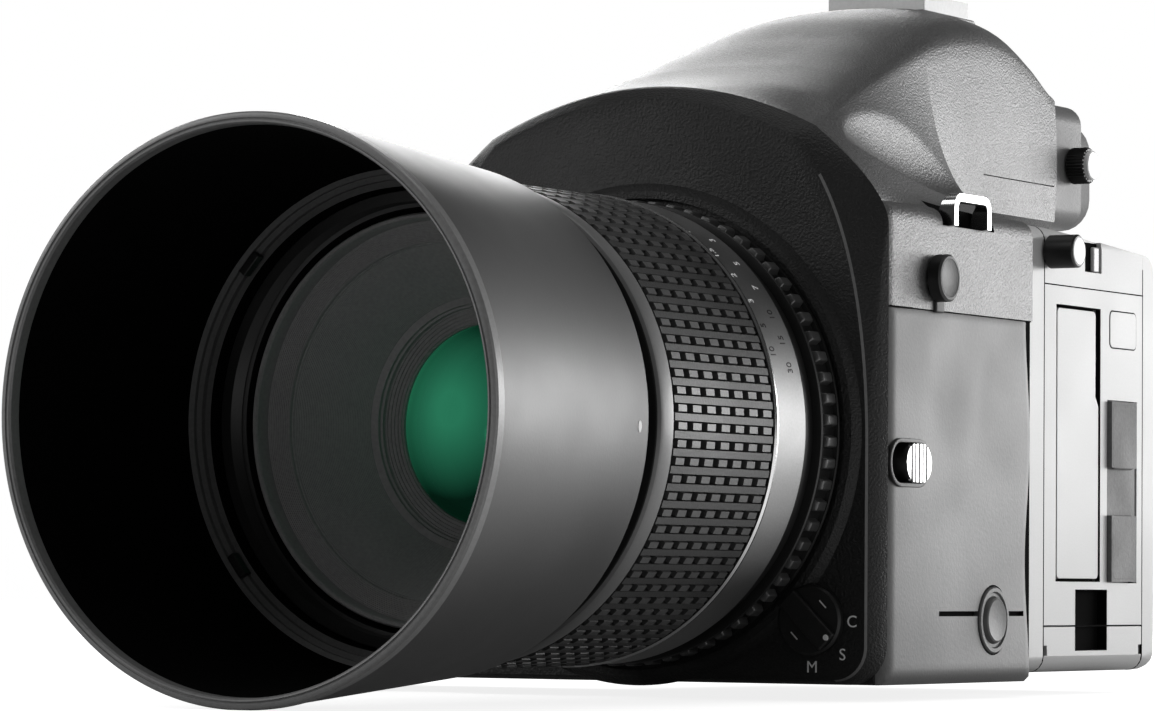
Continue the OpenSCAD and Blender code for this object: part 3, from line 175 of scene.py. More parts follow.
# Lens outlines: radius from the lens axis and distance forward of the tripod socket
AXIS_R = 0.01
HOOD_LINE = (
    (38.3, 103), (41.9, 103), (42.35, 103.15), (42.6, 103.6), (46.42, 154.3), (45.4, 154.4), (44.65, 154.3),
    (41.1, 112), (40.3, 111.6), (40.3, 110.8), (39.4, 110.6), (39.4, 109.6), (38.3, 109.6),
)
HOOD_RIM_LINE = (
    (46.42, 154.3), (46.6, 154.5), (46.6, 156.2), (46.35, 156.6), (46.05, 156.75), (45.62, 156.75),
    (45.55, 156.5), (45.3, 156.5), (45.22, 156.75), (44.95, 156.7), (44.7, 156.3), (44.65, 154.3),
)
HOOD_SEAT_D, HOOD_FLANGE_D, HOOD_FLANGE_R = 105.0, (109.5, 112.1), 41.2
HOOD_REAR_R, HOOD_REAR_D, HOOD_TAPER = 42.6, 103.6, 0.0754
HOOD_TAB_ANGLES, HOOD_TAB_R, HOOD_TAB_D = (138.4, 217.4), 39.5, 110.9
HOOD_TAB = ((-2.2, -0.8, -0.9), (2.2, 0.7, 0.9))
HOOD_DOT_ANGLE, HOOD_DOT_D, HOOD_DOT_R, HOOD_DOT_AT_R = -1.9, 106.7, (0.62, 0.95), 42.9
FILTER_R, FILTER_D, THREAD_TURNS, THREAD_PITCH = 36.0, 107.0, 7, 0.54
BAFFLE_FLAT_STEPS, BAFFLE_FINE_STEPS, THROAT_STEPS = 12, 46, 5
GLASS_R, GLASS_CURVE_R, GLASS_CURVE_D, GLASS_STEPS = 17.1, 46.0, 38.0, 12
FOCUS_RING_LINE = (
    (36.45, 57.6), (38.8, 57.6), (38.8, 91.5), (40.3, 91.5), (40.6, 91.8), (40.6, 95.0), (40.4, 95.5),
    (39.9, 95.9), (39.5, 96), (36.45, 96),
)
GRIP_ROWS, GRIP_COLUMNS = 88, 7
GRIP_START, GRIP_END, GRIP_R, GRIP_BASE_R, GRIP_WALL_R = 57.6, 91.5, 40.8, 39.7, 38.8
BAND_START, BAND_END, BAND_R, BAND_FRONT_R, BAND_BORE_R = 45.5, 57.0, 40.5, 39.6, 36.4
BAND_BEAD_L, BAND_FALL = 1.0, 0.08
REAR_BARREL_LINE = (
    (27.8, 26.6), (30, 26.6), (30, 31.5), (33.1, 31.5), (33.1, 32.8), (39.9, 32.8), (40.5, 33.0),
    (40.6, 33.3), (40.4, 33.6), (39.6, 33.7), (39.6, 39.2), (40.4, 39.3), (40.6, 39.55), (40.45, 39.9),
    (39.8, 40), (38.8, 40), (38.8, 45.5), (36.4, 45.5), (36.4, 40), (27.8, 40),
)
BUMP_COUNT, BUMP_R, BUMP_D = 68, (39.3, 40.95), (34.4, 38.5)
TICK_R, TICK_D, TICK_ANGLES = (38.7, 38.95), (42.0, 44.8), (46.4, 47.4)

# Scale numbers by distance forward, each with its angle
SCALE_ROWS = (
    (52.6, (("1", 58), ("1.5", 49), ("2", 41), ("3", 33), ("5", 26), ("10", 19))),
    (48.6, (("3", 54), ("5", 45), ("7", 37), ("10", 29), ("15", 22), ("30", 15))),
)
SCALE_MARK_SIZE, SCALE_WHITE_FROM = 2.1, 30

# Digital back sizes
BACK_HALF_W = 43.7
BACK_SEAM, BACK_REAR_SEAM = 42.6, 87.0
BACK_FLOOR, BATTERY_SEAM, TOP_SEAM = 1.4, 10.0, 73.5
BACK_TOP_H, BACK_TOP_REAR_H, BACK_REAR, BACK_CORNER_R = 84.3, 81.0, 92.2, 3.0
DOOR_Y, DOOR_W, DOOR_FLOOR, DOOR_TOP, DOOR_T = 48.1, 19.2, 18.5, 69.7, 1.3
DOOR_FAR = DOOR_Y + DOOR_W
DOOR_STEP, DOOR_STEP_Z, DOOR_CORNER_R = 1.3, 53.0, 1.0
PLATE_LOW, PLATE_HIGH, PLATE_R, PLATE_EDGE = (71.6, 62.7), (84.0, 70.0), 1.3, 0.22
NOTCH_Y, NOTCH_FLOOR, NOTCH_TOP, NOTCH_DEPTH = (56.6, 70.8), 5.4, 16.7, 2.0
LOCK_Y, LOCK_Z, LOCK_R, LOCK_L, LOCK_STEM_R = 44.2, 79.4, 3.1, 6.4, 1.2
PAD_Y, PAD_Z, PAD_H, PAD_R, PAD_X = (71.2, 82.0), (18.6, 39.7), 12.4, 1.6, (0.2, 0.94)
CATCH_Y, CATCH_TOP, BOLT_Y, BOLT_TOP = (60.4, 68.1), 82.4, (65.2, 67.6), 81.6
KNOB_Y, KNOB_X, KNOB_Z, KNOB_R, KNOB_L = 98.0, 23.7, 100.2, 3.6, 4.6
# The knob's ring of white dots are painted highlights on its knurl
KNOB_TEETH, KNOB_TOOTH, KNOB_GLINTS, KNOB_STEM_R = 36, 0.28, 24, 1.2

# Seam strips: how far they stand out, how deep they reach and half their width
SEAM_STAND, SEAM_DEPTH, SEAM_HALF = 0.03, 0.3, 0.12
SHARP_ANGLE = 35.0
BOX_FACES = ((0, 1, 3, 2), (4, 6, 7, 5), (0, 4, 5, 1), (2, 3, 7, 6), (0, 2, 6, 4), (1, 5, 7, 3))


def put_in_scene(made):
    bpy.context.scene.collection.objects.link(made)


def make_camera():
    turns = ((CAMERA_AZIMUTH, "Z"), (90 - CAMERA_ELEVATION, "X"), (CAMERA_ROLL, "Z"))
    place = Matrix.Translation(Vector(CAMERA_PLACE) * MM)
    for angle, axis in turns:
        place = place @ Matrix.Rotation(math.radians(angle), 4, axis)
    data = bpy.data.cameras.new("camera")
    data.sensor_width = SENSOR_WIDTH
    data.lens = SENSOR_WIDTH * FOCAL_PIXELS / PHOTO_WIDTH
    data.clip_start = CAMERA_NEAR * MM
    camera = bpy.data.objects.new("camera", data)
    put_in_scene(camera)
    camera.matrix_world = place
    bpy.context.scene.camera = camera


# Shader steps
def empty_tree(owner):
    owner.use_nodes = True
    owner.node_tree.nodes.clear()
    return owner.node_tree


def feed(tree, node, inputs):
    """Inputs of a shader node, by name or place: values or what other nodes give."""
    for key, value in inputs.items():
        if isinstance(value, bpy.types.NodeSocket):
            tree.links.new(value, node.inputs[key])
        else:
            node.inputs[key].default_value = value


def add_node(tree, kind, **inputs):
    node = tree.nodes.new("ShaderNode" + kind)
    feed(tree, node, inputs)
    return node


def add_range(tree, value, span, levels):
    """Value carried from one span of numbers to another."""
    step = add_node(tree, "MapRange", Value=value)
    feed(tree, step, dict(zip(("From Min", "From Max", "To Min", "To Max"), (*span, *levels))))
    return step.outputs["Result"]


def add_math(tree, operation, a, b, kind="Math"):
    step = add_node(tree, kind)
    step.operation = operation
    feed(tree, step, {0: a, 1: b})
    return step.outputs["Value"]


def add_distance(tree, place, middle):
    return add_math(tree, "DISTANCE", place, middle, "VectorMath")


def add_axes(tree, vector):
    return add_node(tree, "SeparateXYZ", Vector=vector).outputs


def add_noise(tree, place, scale, detail):
    return add_node(tree, "TexNoise", Vector=place, Scale=scale, Detail=detail).outputs["Fac"]


# Stage and light
def make_world():
    """White to the camera; reflections see a lit wall low behind the object and a dim studio elsewhere."""
    world = bpy.data.worlds.new("studio")
    bpy.context.scene.world = world
    tree = empty_tree(world)
    rays = add_node(tree, "LightPath").outputs
    axes = add_axes(tree, add_node(tree, "TexCoord").outputs["Generated"])
    low = add_range(tree, axes["Z"], WALL_UP, (1.0, 0.0))
    behind = add_range(tree, axes["Y"], WALL_FRONT, (0.0, 1.0))
    right = add_range(tree, axes["X"], WALL_LEFT, (WALL_LEFT_LEVEL, 1.0))
    lit = add_math(tree, "MULTIPLY", add_math(tree, "MULTIPLY", low, right), behind)
    wall = add_range(tree, lit, (0.0, 1.0), (STUDIO_DIM, FULL_WHITE))
    mirrored = add_math(tree, "MULTIPLY", rays["Is Glossy Ray"], wall)
    seen = add_math(tree, "MAXIMUM", rays["Is Camera Ray"], rays["Is Transmission Ray"])
    plain = add_range(tree, rays["Is Diffuse Ray"], (0.0, 1.0), (0.0, WORLD_LIGHT))
    strength = add_math(tree, "MAXIMUM", add_math(tree, "MAXIMUM", seen, mirrored), plain)
    background = add_node(tree, "Background", Color=(1, 1, 1, 1), Strength=strength)
    add_node(tree, "OutputWorld", Surface=background.outputs[0])


def floor_finish():
    """Pale floor that keeps the object's real shadow. Its glow is painted darker near the object, seen
    directly and in reflections, and painted bright on its right side in reflections. It turns white away
    from the object.
    """
    material = bpy.data.materials.new("pale_floor")
    tree = empty_tree(material)
    rays = add_node(tree, "LightPath").outputs
    place = add_node(tree, "NewGeometry").outputs["Position"]
    away = add_distance(tree, place, (0, 0, 0))
    pale = add_range(tree, away, FLOOR_FADE, (FLOOR_PAINTED_SHADE_LEVEL, FULL_WHITE))
    far = add_range(tree, away, FLOOR_MIRROR_FADE, (FLOOR_MIRROR_PAINTED_SHADE, FULL_WHITE))
    # Painted light: in reflections the floor is bright on its right side
    painted_lit_side = add_range(tree, add_axes(tree, place)["X"], FLOOR_PAINTED_LIT_SIDE, (0.0, FULL_WHITE))
    seen = add_math(tree, "MULTIPLY", rays["Is Camera Ray"], pale)
    mirrored = add_math(tree, "MULTIPLY", rays["Is Glossy Ray"], add_math(tree, "MAXIMUM", far, painted_lit_side))
    diffuse = add_node(tree, "BsdfDiffuse", Color=(*grey(FLOOR_GREY), 1))
    glow = add_node(tree, "Emission", Strength=add_math(tree, "MAXIMUM", seen, mirrored))
    both = add_node(tree, "AddShader")
    feed(tree, both, {0: diffuse.outputs[0], 1: glow.outputs[0]})
    add_node(tree, "OutputMaterial", Surface=both.outputs[0])
    return material


def make_floor():
    low = CAD_BOX[0].z
    h = FLOOR_SIZE / 2
    mesh = bpy.data.meshes.new("floor")
    mesh.from_pydata([(-h, -h, low), (h, -h, low), (h, h, low), (-h, h, low)], [], [(0, 1, 2, 3)])
    floor = bpy.data.objects.new("floor", mesh)
    put_in_scene(floor)
    floor.data.materials.append(floor_finish())


def make_lights():
    for name, place, target, size, watts in LAMPS:
        data = bpy.data.lights.new(name, "AREA")
        data.shape = "RECTANGLE"
        data.size, data.size_y = size
        data.energy = watts
        light = bpy.data.objects.new(name, data)
        light.location = place
        light.rotation_mode = "QUATERNION"
        light.rotation_quaternion = (Vector(target) - Vector(place)).to_track_quat("-Z", "Y")
        put_in_scene(light)


# Materials: colour, roughness, shine, speckle and grain each as strength and scale, smear's strength, metal
NOISE_SPAN = (0.3, 0.7)
SMEAR_SCALE = 55.0
GRAIN_DEPTH = 0.0003
# Painted glow of the front glass: green emission, strongest near this middle and fading outwards
PAINTED_GLOW_MIDDLE = (-0.0075, -0.0835, 0.0465)
PAINTED_GLOW_COLOUR = (0.02, 0.17, 0.09, 1)
PAINTED_GLOW_FADE, PAINTED_GLOW_LEVELS = (0.003, 0.0155), (1.0, 0.05)
COATING_TINT, COATING_IOR = (0.08, 0.78, 0.42, 1), 1.9


def grey(value):
    return (value, value, value)


def around(middle, reach):
    return (middle - reach, middle + reach)


def finish_of(name, colour, rough, spec, speckle, grain, smear=0.06, metal=0.0):
    """Finish with fine speckle in its colour, fine grain in its relief and broad smears in its gloss."""
    material = bpy.data.materials.new(name)
    material.use_nodes = True
    tree = material.node_tree
    place = add_node(tree, "TexCoord").outputs["Object"]
    fleck = add_noise(tree, place, speckle[1], 3.0)
    patch = add_noise(tree, place, SMEAR_SCALE, 2.0)
    flecks = add_range(tree, fleck, NOISE_SPAN, around(1, speckle[0]))
    patches = add_range(tree, patch, NOISE_SPAN, around(1, smear))
    shade = add_range(tree, add_math(tree, "MULTIPLY", flecks, patches), (0.0, 2.0), (0.0, 1.0))
    tint = add_node(tree, "Mix")
    tint.data_type = "RGBA"
    feed(tree, tint, {"Factor": shade, "A": (0, 0, 0, 1), "B": (*[2 * c for c in colour], 1)})
    relief = add_noise(tree, place, grain[1], 2.0)
    bump = add_node(tree, "Bump", Strength=grain[0], Distance=GRAIN_DEPTH, Height=relief)
    feed(tree, tree.nodes["Principled BSDF"], {
        "Base Color": tint.outputs["Result"],
        "Roughness": add_range(tree, patch, NOISE_SPAN, around(rough, smear)),
        "Normal": bump.outputs[0],
        "Specular IOR Level": spec,
        "Metallic": metal,
    })
    return material


def glass_of(name, colour, rough):
    return finish_of(name, colour, rough, 0.5, (0.05, 200), (0.0, 500), 0.02)


def coated_glass():
    """Dark glass with a painted green glow, emission that stands in for its coating's colour, strongest in
    the middle.
    """
    material = glass_of("coated_glass", (0.0015, 0.012, 0.008), 0.08)
    tree = material.node_tree
    away = add_distance(tree, add_node(tree, "TexCoord").outputs["Object"], PAINTED_GLOW_MIDDLE)
    feed(tree, tree.nodes["Principled BSDF"], {
        "IOR": COATING_IOR,
        "Specular Tint": COATING_TINT,
        "Emission Color": PAINTED_GLOW_COLOUR,
        "Emission Strength": add_range(tree, away, PAINTED_GLOW_FADE, PAINTED_GLOW_LEVELS),
    })
    return material


def clear_glass():
    material = glass_of("clear_glass", (0.02, 0.024, 0.028), 0.06)
    material.node_tree.nodes["Principled BSDF"].inputs["Coat Weight"].default_value = 0.6
    return material


FRONT = finish_of("front_pebble", grey(0.012), 0.5, 0.25, (0.25, 2200), (0.7, 2400))
HUMP = finish_of("hump_speckle", grey(0.045), 0.42, 1.0, (0.8, 2000), (0.6, 2600), 0.02)
SIDE = finish_of("side_rubber", grey(0.085), 0.48, 0.42, (0.07, 1500), (0.1, 1800), 0.04)
HOOD_OUT = finish_of("hood_satin", grey(0.022), 0.45, 0.58, (0.06, 1500), (0.04, 1800), 0.03)
HOOD_IN = finish_of("hood_flock", grey(0.0025), 0.95, 0.02, (0.3, 2500), (0.3, 3000))
RIM = finish_of("hood_rim", grey(0.16), 0.35, 0.6, (0.1, 1500), (0.04, 1800))
RUBBER = finish_of("grip_rubber", grey(0.022), 0.5, 0.4, (0.2, 1800), (0.2, 2200))
BLOCK = finish_of("grip_block", grey(0.045), 0.45, 0.5, (0.15, 1800), (0.15, 2200))
# Near-black floor under the grip's ribs and blocks: painted shade in the pits
PIT_PAINTED_SHADE = finish_of("grip_pit_painted_shade", grey(0.004), 0.9, 0.05, (0.3, 1800), (0.2, 2200))
BLACK = finish_of("black_satin", grey(0.01), 0.42, 0.35, (0.15, 1500), (0.06, 2000))
BLACK_MATT = finish_of("black_matt", grey(0.006), 0.8, 0.1, (0.2, 1500), (0.1, 2000))
BAFFLE = finish_of("baffle_grey", grey(0.34), 0.5, 0.45, (0.1, 1500), (0.05, 2000))
SILVER = finish_of("scale_silver", grey(0.24), 0.42, 0.5, (0.05, 2500), (0.06, 2600), metal=0.95)
CHROME = finish_of("chrome", grey(0.6), 0.2, 0.5, (0.03, 900), (0.02, 900), 0.03, metal=1.0)
STEEL = finish_of("steel", grey(0.5), 0.32, 0.5, (0.05, 900), (0.04, 900), metal=1.0)
BACK = finish_of("back_aluminium", grey(0.46), 0.4, 0.4, (0.03, 3000), (0.05, 3200), 0.02)
BACK_DARK = finish_of("back_dark", grey(0.05), 0.5, 0.35, (0.1, 2000), (0.15, 2400))
PORT_RUBBER = finish_of("port_rubber", grey(0.14), 0.6, 0.3, (0.12, 1200), (0.2, 1500), 0.1)
EYE_GREY = finish_of("eyepiece_grey", grey(0.12), 0.5, 0.4, (0.1, 2200), (0.2, 2400))
EYE_RUBBER = finish_of("eyecup_rubber", grey(0.2), 0.6, 0.3, (0.08, 1800), (0.15, 2000))
CAP_GREY = finish_of("cap_face", grey(0.035), 0.5, 0.3, (0.08, 1800), (0.1, 2000))
KNURL = finish_of("bump_satin", grey(0.05), 0.35, 0.7, (0.1, 1500), (0.04, 2000))
FLANGE = finish_of("hood_flange", grey(0.09), 0.6, 0.3, (0.1, 1500), (0.05, 2000))
# Lighter grey for the front cover's side edges: a painted highlight
EDGE_PAINTED_HIGHLIGHT = finish_of("edge_painted_highlight", grey(0.13), 0.45, 0.4, (0.1, 1500), (0.05, 2000))
# Lighter copy of the black barrel finish for the focus ring's front lip: painted highlight
LIP_PAINTED_HIGHLIGHT = finish_of("lip_painted_highlight", grey(0.12), 0.38, 0.6, (0.05, 1500), (0.04, 2000))
PALE = finish_of("pale_metal", grey(0.7), 0.35, 0.4, (0.04, 1500), (0.05, 1800))
WHITE = finish_of("white_paint", grey(0.85), 0.5, 0.3, (0.02, 1500), (0.05, 1800), 0.02)
# Near-black for dark joints, and painted shade on the walls of holes cut with it (slider slot, port, groove,
# lug pocket) and on recess linings
SEAM_AND_SHADE = finish_of("seam_shadow", grey(0.006), 0.9, 0.02, (0.1, 1500), (0.05, 1800))
GLASS = coated_glass()
CLEAR = clear_glass()
SCREEN = finish_of("display_glass", grey(0.012), 0.12, 0.6, (0.05, 400), (0.0, 400), 0.02)
SENSOR = finish_of("sensor_coating", (0.01, 0.05, 0.045), 0.2, 0.5, (0.05, 3000), (0.02, 3000))
BOARD = finish_of("board_green", (0.02, 0.1, 0.04), 0.5, 0.4, (0.4, 350), (0.3, 350))
MIRROR = finish_of("mirror_silver", grey(0.85), 0.05, 0.5, (0.02, 300), (0.0, 300), 0.01, metal=1.0)
GRIP_WRAP = finish_of("grip_wrap", grey(0.03), 0.6, 0.35, (0.2, 1500), (0.9, 1100))

# CAD nodes that stay: finish, width of their softened edges in millimetres, names
NODE_FINISH = (
    (BLACK_MATT, 0.0, "chassis shutter_frame shutter_blade_1 shutter_blade_2 shutter_blade_3 leaf_unit"),
    (BLACK_MATT, 0.2, "gate_plate"),
    (BLACK, 0.0, "lens_sleeve"),
    (BLACK, 0.12, "front_dial rear_dial"),
    (BLACK, 0.5, "base_plate"),
    (FRONT, 0.3, "hand_grip"),
    (FRONT, 0.4, "grip_battery_cover"),
    (GRIP_WRAP, 0.35, "grip_rubber"),
    (STEEL, 0.1, "sync_terminal release_slider"),
    (STEEL, 0.2, "tripod_bush lens_mount_ring"),
    (CHROME, 0.4, "shutter_button"),
    (PALE, 0.12, "hot_shoe"),
    (CLEAR, 0.0, "prism rear_element"),
    (CLEAR, 0.1, "focusing_screen eyepiece_lens"),
    (MIRROR, 0.05, "mirror"),
    (EYE_GREY, 0.6, "eyepiece_frame"),
    (EYE_RUBBER, 1.0, "eyecup"),
    (BACK, 0.1, "back_case"),
    (BACK, 0.15, "back_top battery"),
    (BACK, 0.18, "back_frame"),
    (BACK, 0.5, "back_rear_cover"),
    (BACK_DARK, 0.2, "grip_battery_holder"),
    (BACK_DARK, 0.25, "rear_button_1 rear_button_2 rear_button_3 rear_button_4"),
    (PORT_RUBBER, 0.55, "port_cover"),
    (SENSOR, 0.2, "sensor_module"),
    (BOARD, 0.0, "main_board"),
    (SCREEN, 0.15, "display_panel"),
)


# Building pieces, with places in millimetres
WELD_GAP, SHORTEST_EDGE = 0.002, 0.001
NORMAL_WEIGHT = 70


def smooth(mesh, sharp):
    mesh.polygons.foreach_set("use_smooth", [True] * len(mesh.polygons))
    mesh.set_sharp_from_angle(angle=math.radians(sharp))


def piece(name, points, faces, material, sharp=SHARP_ANGLE):
    mesh = bpy.data.meshes.new(name)
    mesh.from_pydata([Vector(p) * MM for p in points], [], faces)
    bm = bmesh.new()
    bm.from_mesh(mesh)
    bmesh.ops.remove_doubles(bm, verts=bm.verts, dist=WELD_GAP * MM)
    bmesh.ops.dissolve_degenerate(bm, edges=bm.edges, dist=SHORTEST_EDGE * MM)
    bmesh.ops.recalc_face_normals(bm, faces=bm.faces)
    bm.to_mesh(mesh)
    bm.free()
    smooth(mesh, sharp)
    made = bpy.data.objects.new(name, mesh)
    put_in_scene(made)
    mesh.materials.append(material)
    return made


def paint(made, material, test):
    """Second finish on the faces whose middle, in millimetres, and normal pass a test."""
    made.data.materials.append(material)
    for face in made.data.polygons:
        if test(face.center / MM, face.normal):
            face.material_index = len(made.data.materials) - 1
    return made


def dress(made, body, slot, *nodes):
    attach(made, body)
    if nodes:
        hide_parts(*nodes)


def even_normals(made):
    made.modifiers.new("even_normals", "WEIGHTED_NORMAL").weight = NORMAL_WEIGHT


def soften(made, width, segments=2):
    bevel = made.modifiers.new("soft_edges", "BEVEL")
    bevel.width = width * MM
    bevel.segments = segments
    bevel.limit_method = "ANGLE"
    bevel.angle_limit = math.radians(SHARP_ANGLE)
    even_normals(made)
    return made


def apply_modifiers(made):
    graph = bpy.context.evaluated_depsgraph_get()
    mesh = bpy.data.meshes.new_from_object(made.evaluated_get(graph))
    made.modifiers.clear()
    old = made.data
    made.data = mesh
    bpy.data.meshes.remove(old)


def cut(made, *cutters):
    """Piece with the cutters taken out; cut faces keep the cutter's finish."""
    for tool in cutters:
        step = made.modifiers.new("cut", "BOOLEAN")
        step.operation = "DIFFERENCE"
        step.solver = "EXACT"
        step.material_mode = "TRANSFER"
        step.object = tool
    bpy.context.view_layer.update()
    apply_modifiers(made)
    for tool in cutters:
        mesh = tool.data
        bpy.data.objects.remove(tool)
        bpy.data.meshes.remove(mesh)
    smooth(made.data, SHARP_ANGLE)
    return made


def rings_piece(name, rings, material, closed=False, sharp=SHARP_ANGLE):
    """Skin over rings of equally many points, capped at its ends unless it closes on itself."""
    count = len(rings[0])
    points = [p for ring in rings for p in ring]
    rows = len(rings) if closed else len(rings) - 1
    faces = []
    for i in range(rows):
        a, b = i * count, ((i + 1) % len(rings)) * count
        faces += [(a + k, a + (k + 1) % count, b + (k + 1) % count, b + k) for k in range(count)]
    if not closed:
        faces += [tuple(range(count)), tuple(range(len(points) - count, len(points)))]
    return piece(name, points, faces, material, sharp)


def about_lens(r, d, a):
    return (r * math.cos(a), -d, AXIS_H + r * math.sin(a))


def about_x(y, z):
    return lambda r, d, a: (d, y + r * math.cos(a), z + r * math.sin(a))


def about_y(x, z):
    return lambda r, d, a: (x + r * math.cos(a), -d, z + r * math.sin(a))


def lathe(name, profile, material, place=about_lens, steps=192, sharp=28.0):
    """Solid of revolution from a closed outline of radius and distance along the axis."""
    rings = [[place(r, d, 2 * math.pi * k / steps) for r, d in profile] for k in range(steps)]
    return rings_piece(name, rings, material, closed=True, sharp=sharp)


def tube_line(inner, outer, low, high):
    """Outline of a plain tube for a lathe."""
    return [(inner, low), (outer, low), (outer, high), (inner, high)]


def disc_line(r, low, high):
    return tube_line(AXIS_R, r, low, high)


def dot_line(r, foot):
    """Outline of a small raised dot for a lathe; the radius is given at its foot and its top."""
    return [(AXIS_R, foot - 0.1), (r[0], foot - 0.1), (r[1], foot + 0.06), (AXIS_R, foot + 0.08)]


def box(name, low, high, material, place=None):
    """Box between two corners; place, where given, turns its coordinates into points."""
    corners = list(product(*zip(low, high)))
    if place:
        corners = [place(*corner) for corner in corners]
    return piece(name, corners, BOX_FACES, material)


def steps_between(low, high, count):
    return [low + (high - low) * i / count for i in range(count + 1)]


def corner_arc(centre, r, start, end, steps):
    turns = [math.radians(turn) for turn in steps_between(start, end, steps)]
    return [(centre[0] + r * math.cos(a), centre[1] + r * math.sin(a)) for a in turns]


def round_outline(low, high, r, steps=6):
    (u0, v0), (u1, v1) = low, high
    centres = ((u1 - r, v1 - r), (u0 + r, v1 - r), (u0 + r, v0 + r), (u1 - r, v0 + r))
    return [p for i, centre in enumerate(centres) for p in corner_arc(centre, r, 90 * i, 90 * i + 90, steps)]


def plate_x(name, outline, x0, x1, material):
    """Plate with an outline in Y and Z, from x0 to x1."""
    return rings_piece(name, [[(x, y, z) for y, z in outline] for x in (x0, x1)], material)


def frame_x(name, outer, inner, x0, x1, material):
    """Frame between two outlines of equally many points in Y and Z, from x0 to x1."""
    rows = [[(x, y, z) for y, z in line] for line, x in ((outer, x0), (outer, x1), (inner, x1), (inner, x0))]
    return rings_piece(name, rows, material, closed=True)


def letters(name, text, size, place, material):
    """Raised lettering; place turns text coordinates and height into a point."""
    curve = bpy.data.curves.new(name, "FONT")
    curve.body = text
    curve.size = size
    curve.align_x = "CENTER"
    curve.align_y = "CENTER"
    curve.extrude = 0.04
    curve.resolution_u = 4
    draft = bpy.data.objects.new(name + "_draft", curve)
    put_in_scene(draft)
    bpy.context.view_layer.update()
    mesh = bpy.data.meshes.new_from_object(draft.evaluated_get(bpy.context.evaluated_depsgraph_get()))
    bpy.data.objects.remove(draft)
    bpy.data.curves.remove(curve)
    points = [place(*v.co) for v in mesh.vertices]
    faces = [tuple(p.vertices) for p in mesh.polygons]
    bpy.data.meshes.remove(mesh)
    return piece(name, points, faces, material)


def dark_box(name, low, high, body="body"):
    dress(box(name, low, high, SEAM_AND_SHADE), body, "back_dark")


# Body shape functions
def bend(a, b, c, t):
    return tuple(p * (1 - t) ** 2 + 2 * q * t * (1 - t) + r * t * t for p, q, r in zip(a, b, c))


def cubic(a, b, c, d, t):
    return b + 0.5 * t * (c - a + t * (2 * a - 5 * b + 4 * c - d + t * (3 * (b - c) + d - a)))


def station(y):
    """Smooth values through the hump's stations at a distance back."""
    i = 0
    while i < len(RIDGE_RUN) - 2 and y > RIDGE_RUN[i + 1][0]:
        i += 1
    rows = [RIDGE_RUN[min(max(k, 0), len(RIDGE_RUN) - 1)] for k in (i - 1, i, i + 1, i + 2)]
    t = (y - rows[1][0]) / (rows[2][0] - rows[1][0])
    return [cubic(*values, t) for values in zip(*rows)]


def roof(ridge, crown, full, steps=16):
    return [bend(ridge, (ridge[0] * full, crown), (0, crown), i / steps) for i in range(1, steps + 1)]


def scooped(p, y, t):
    """Point of the shoulder, sunk where the scoop lies."""
    along = y - SCOOP_MID[0]
    across = t - SCOOP_MID[1] + SCOOP_FALL * along
    q = min(1.0, (along / SCOOP_HALF[0]) ** 2 + (across / SCOOP_HALF[1]) ** 2)
    dip = SCOOP_DEPTH * (1 - q) * SCOOP_SLANT
    return (p[0] - dip, p[1] - dip)


def roll(distance, r):
    """Fall of an edge of radius r at a distance from it."""
    gap = max(0.0, r - distance)
    return r - math.sqrt(max(0.0, r * r - gap * gap))


def lean(y):
    """Slight inward lean of the side towards the front."""
    return FRONT_LEAN * max(0.0, 1 - (y + BODY_FRONT) / FRONT_LEAN_L) ** 2


def flare(y):
    """Half outline of the top cover over the body, at a distance back."""
    _, ridge_w, ridge_h, crown, full = station(y)
    w = BODY_HALF_W - roll(y + BODY_FRONT + FRONT_ROLL_BACK, FRONT_ROLL_R) - lean(y)
    back = (y + BODY_FRONT) / (BODY_REAR + BODY_FRONT)
    ridge = (ridge_w, ridge_h)
    foot = (w - SHOULDER_R, SHOULDER_H + SHOULDER_RISE)
    bow = (foot[0] - back * (foot[0] - ridge_w - SHOULDER_R),
           SHOULDER_H + SHOULDER_BOW - SHOULDER_BOW_FALL * back)
    line = [(w, BAND_H)]
    line += [bend((w, SHOULDER_H - SHOULDER_R), (w, SHOULDER_H), foot, i / 6) for i in range(7)]
    shares = [i / SHOULDER_STEPS for i in range(1, SHOULDER_STEPS + 1)]
    line += [scooped(bend(foot, bow, ridge, t), y, t) for t in shares]
    return line + roof(ridge, crown, full)


def hump(y):
    """Half outline of the hump behind the body, at a distance back."""
    _, ridge_w, ridge_h, crown, full = station(y)
    low = HUMP_FLOOR + HUMP_FOOT
    line = [(ridge_w - HUMP_FOOT, HUMP_FLOOR)]
    for i in range(HUMP_WALL_STEPS + 1):
        t = i / HUMP_WALL_STEPS
        line.append((ridge_w + HUMP_BULGE * math.sin(math.pi * t), low + (ridge_h - low) * t))
    return line + roof((ridge_w, ridge_h), crown, full)


def whole_ring(half, y):
    return [(x, y, z) for x, z in half] + [(-x, y, z) for x, z in half[-2::-1]]


def cover_rows():
    """Places of the cover's rings, closer together at the rounded front edge."""
    edge = steps_between(-BODY_FRONT, -BODY_FRONT + FRONT_ROLL_R, 10)
    return edge[:-1] + steps_between(edge[-1], BODY_REAR, 66)


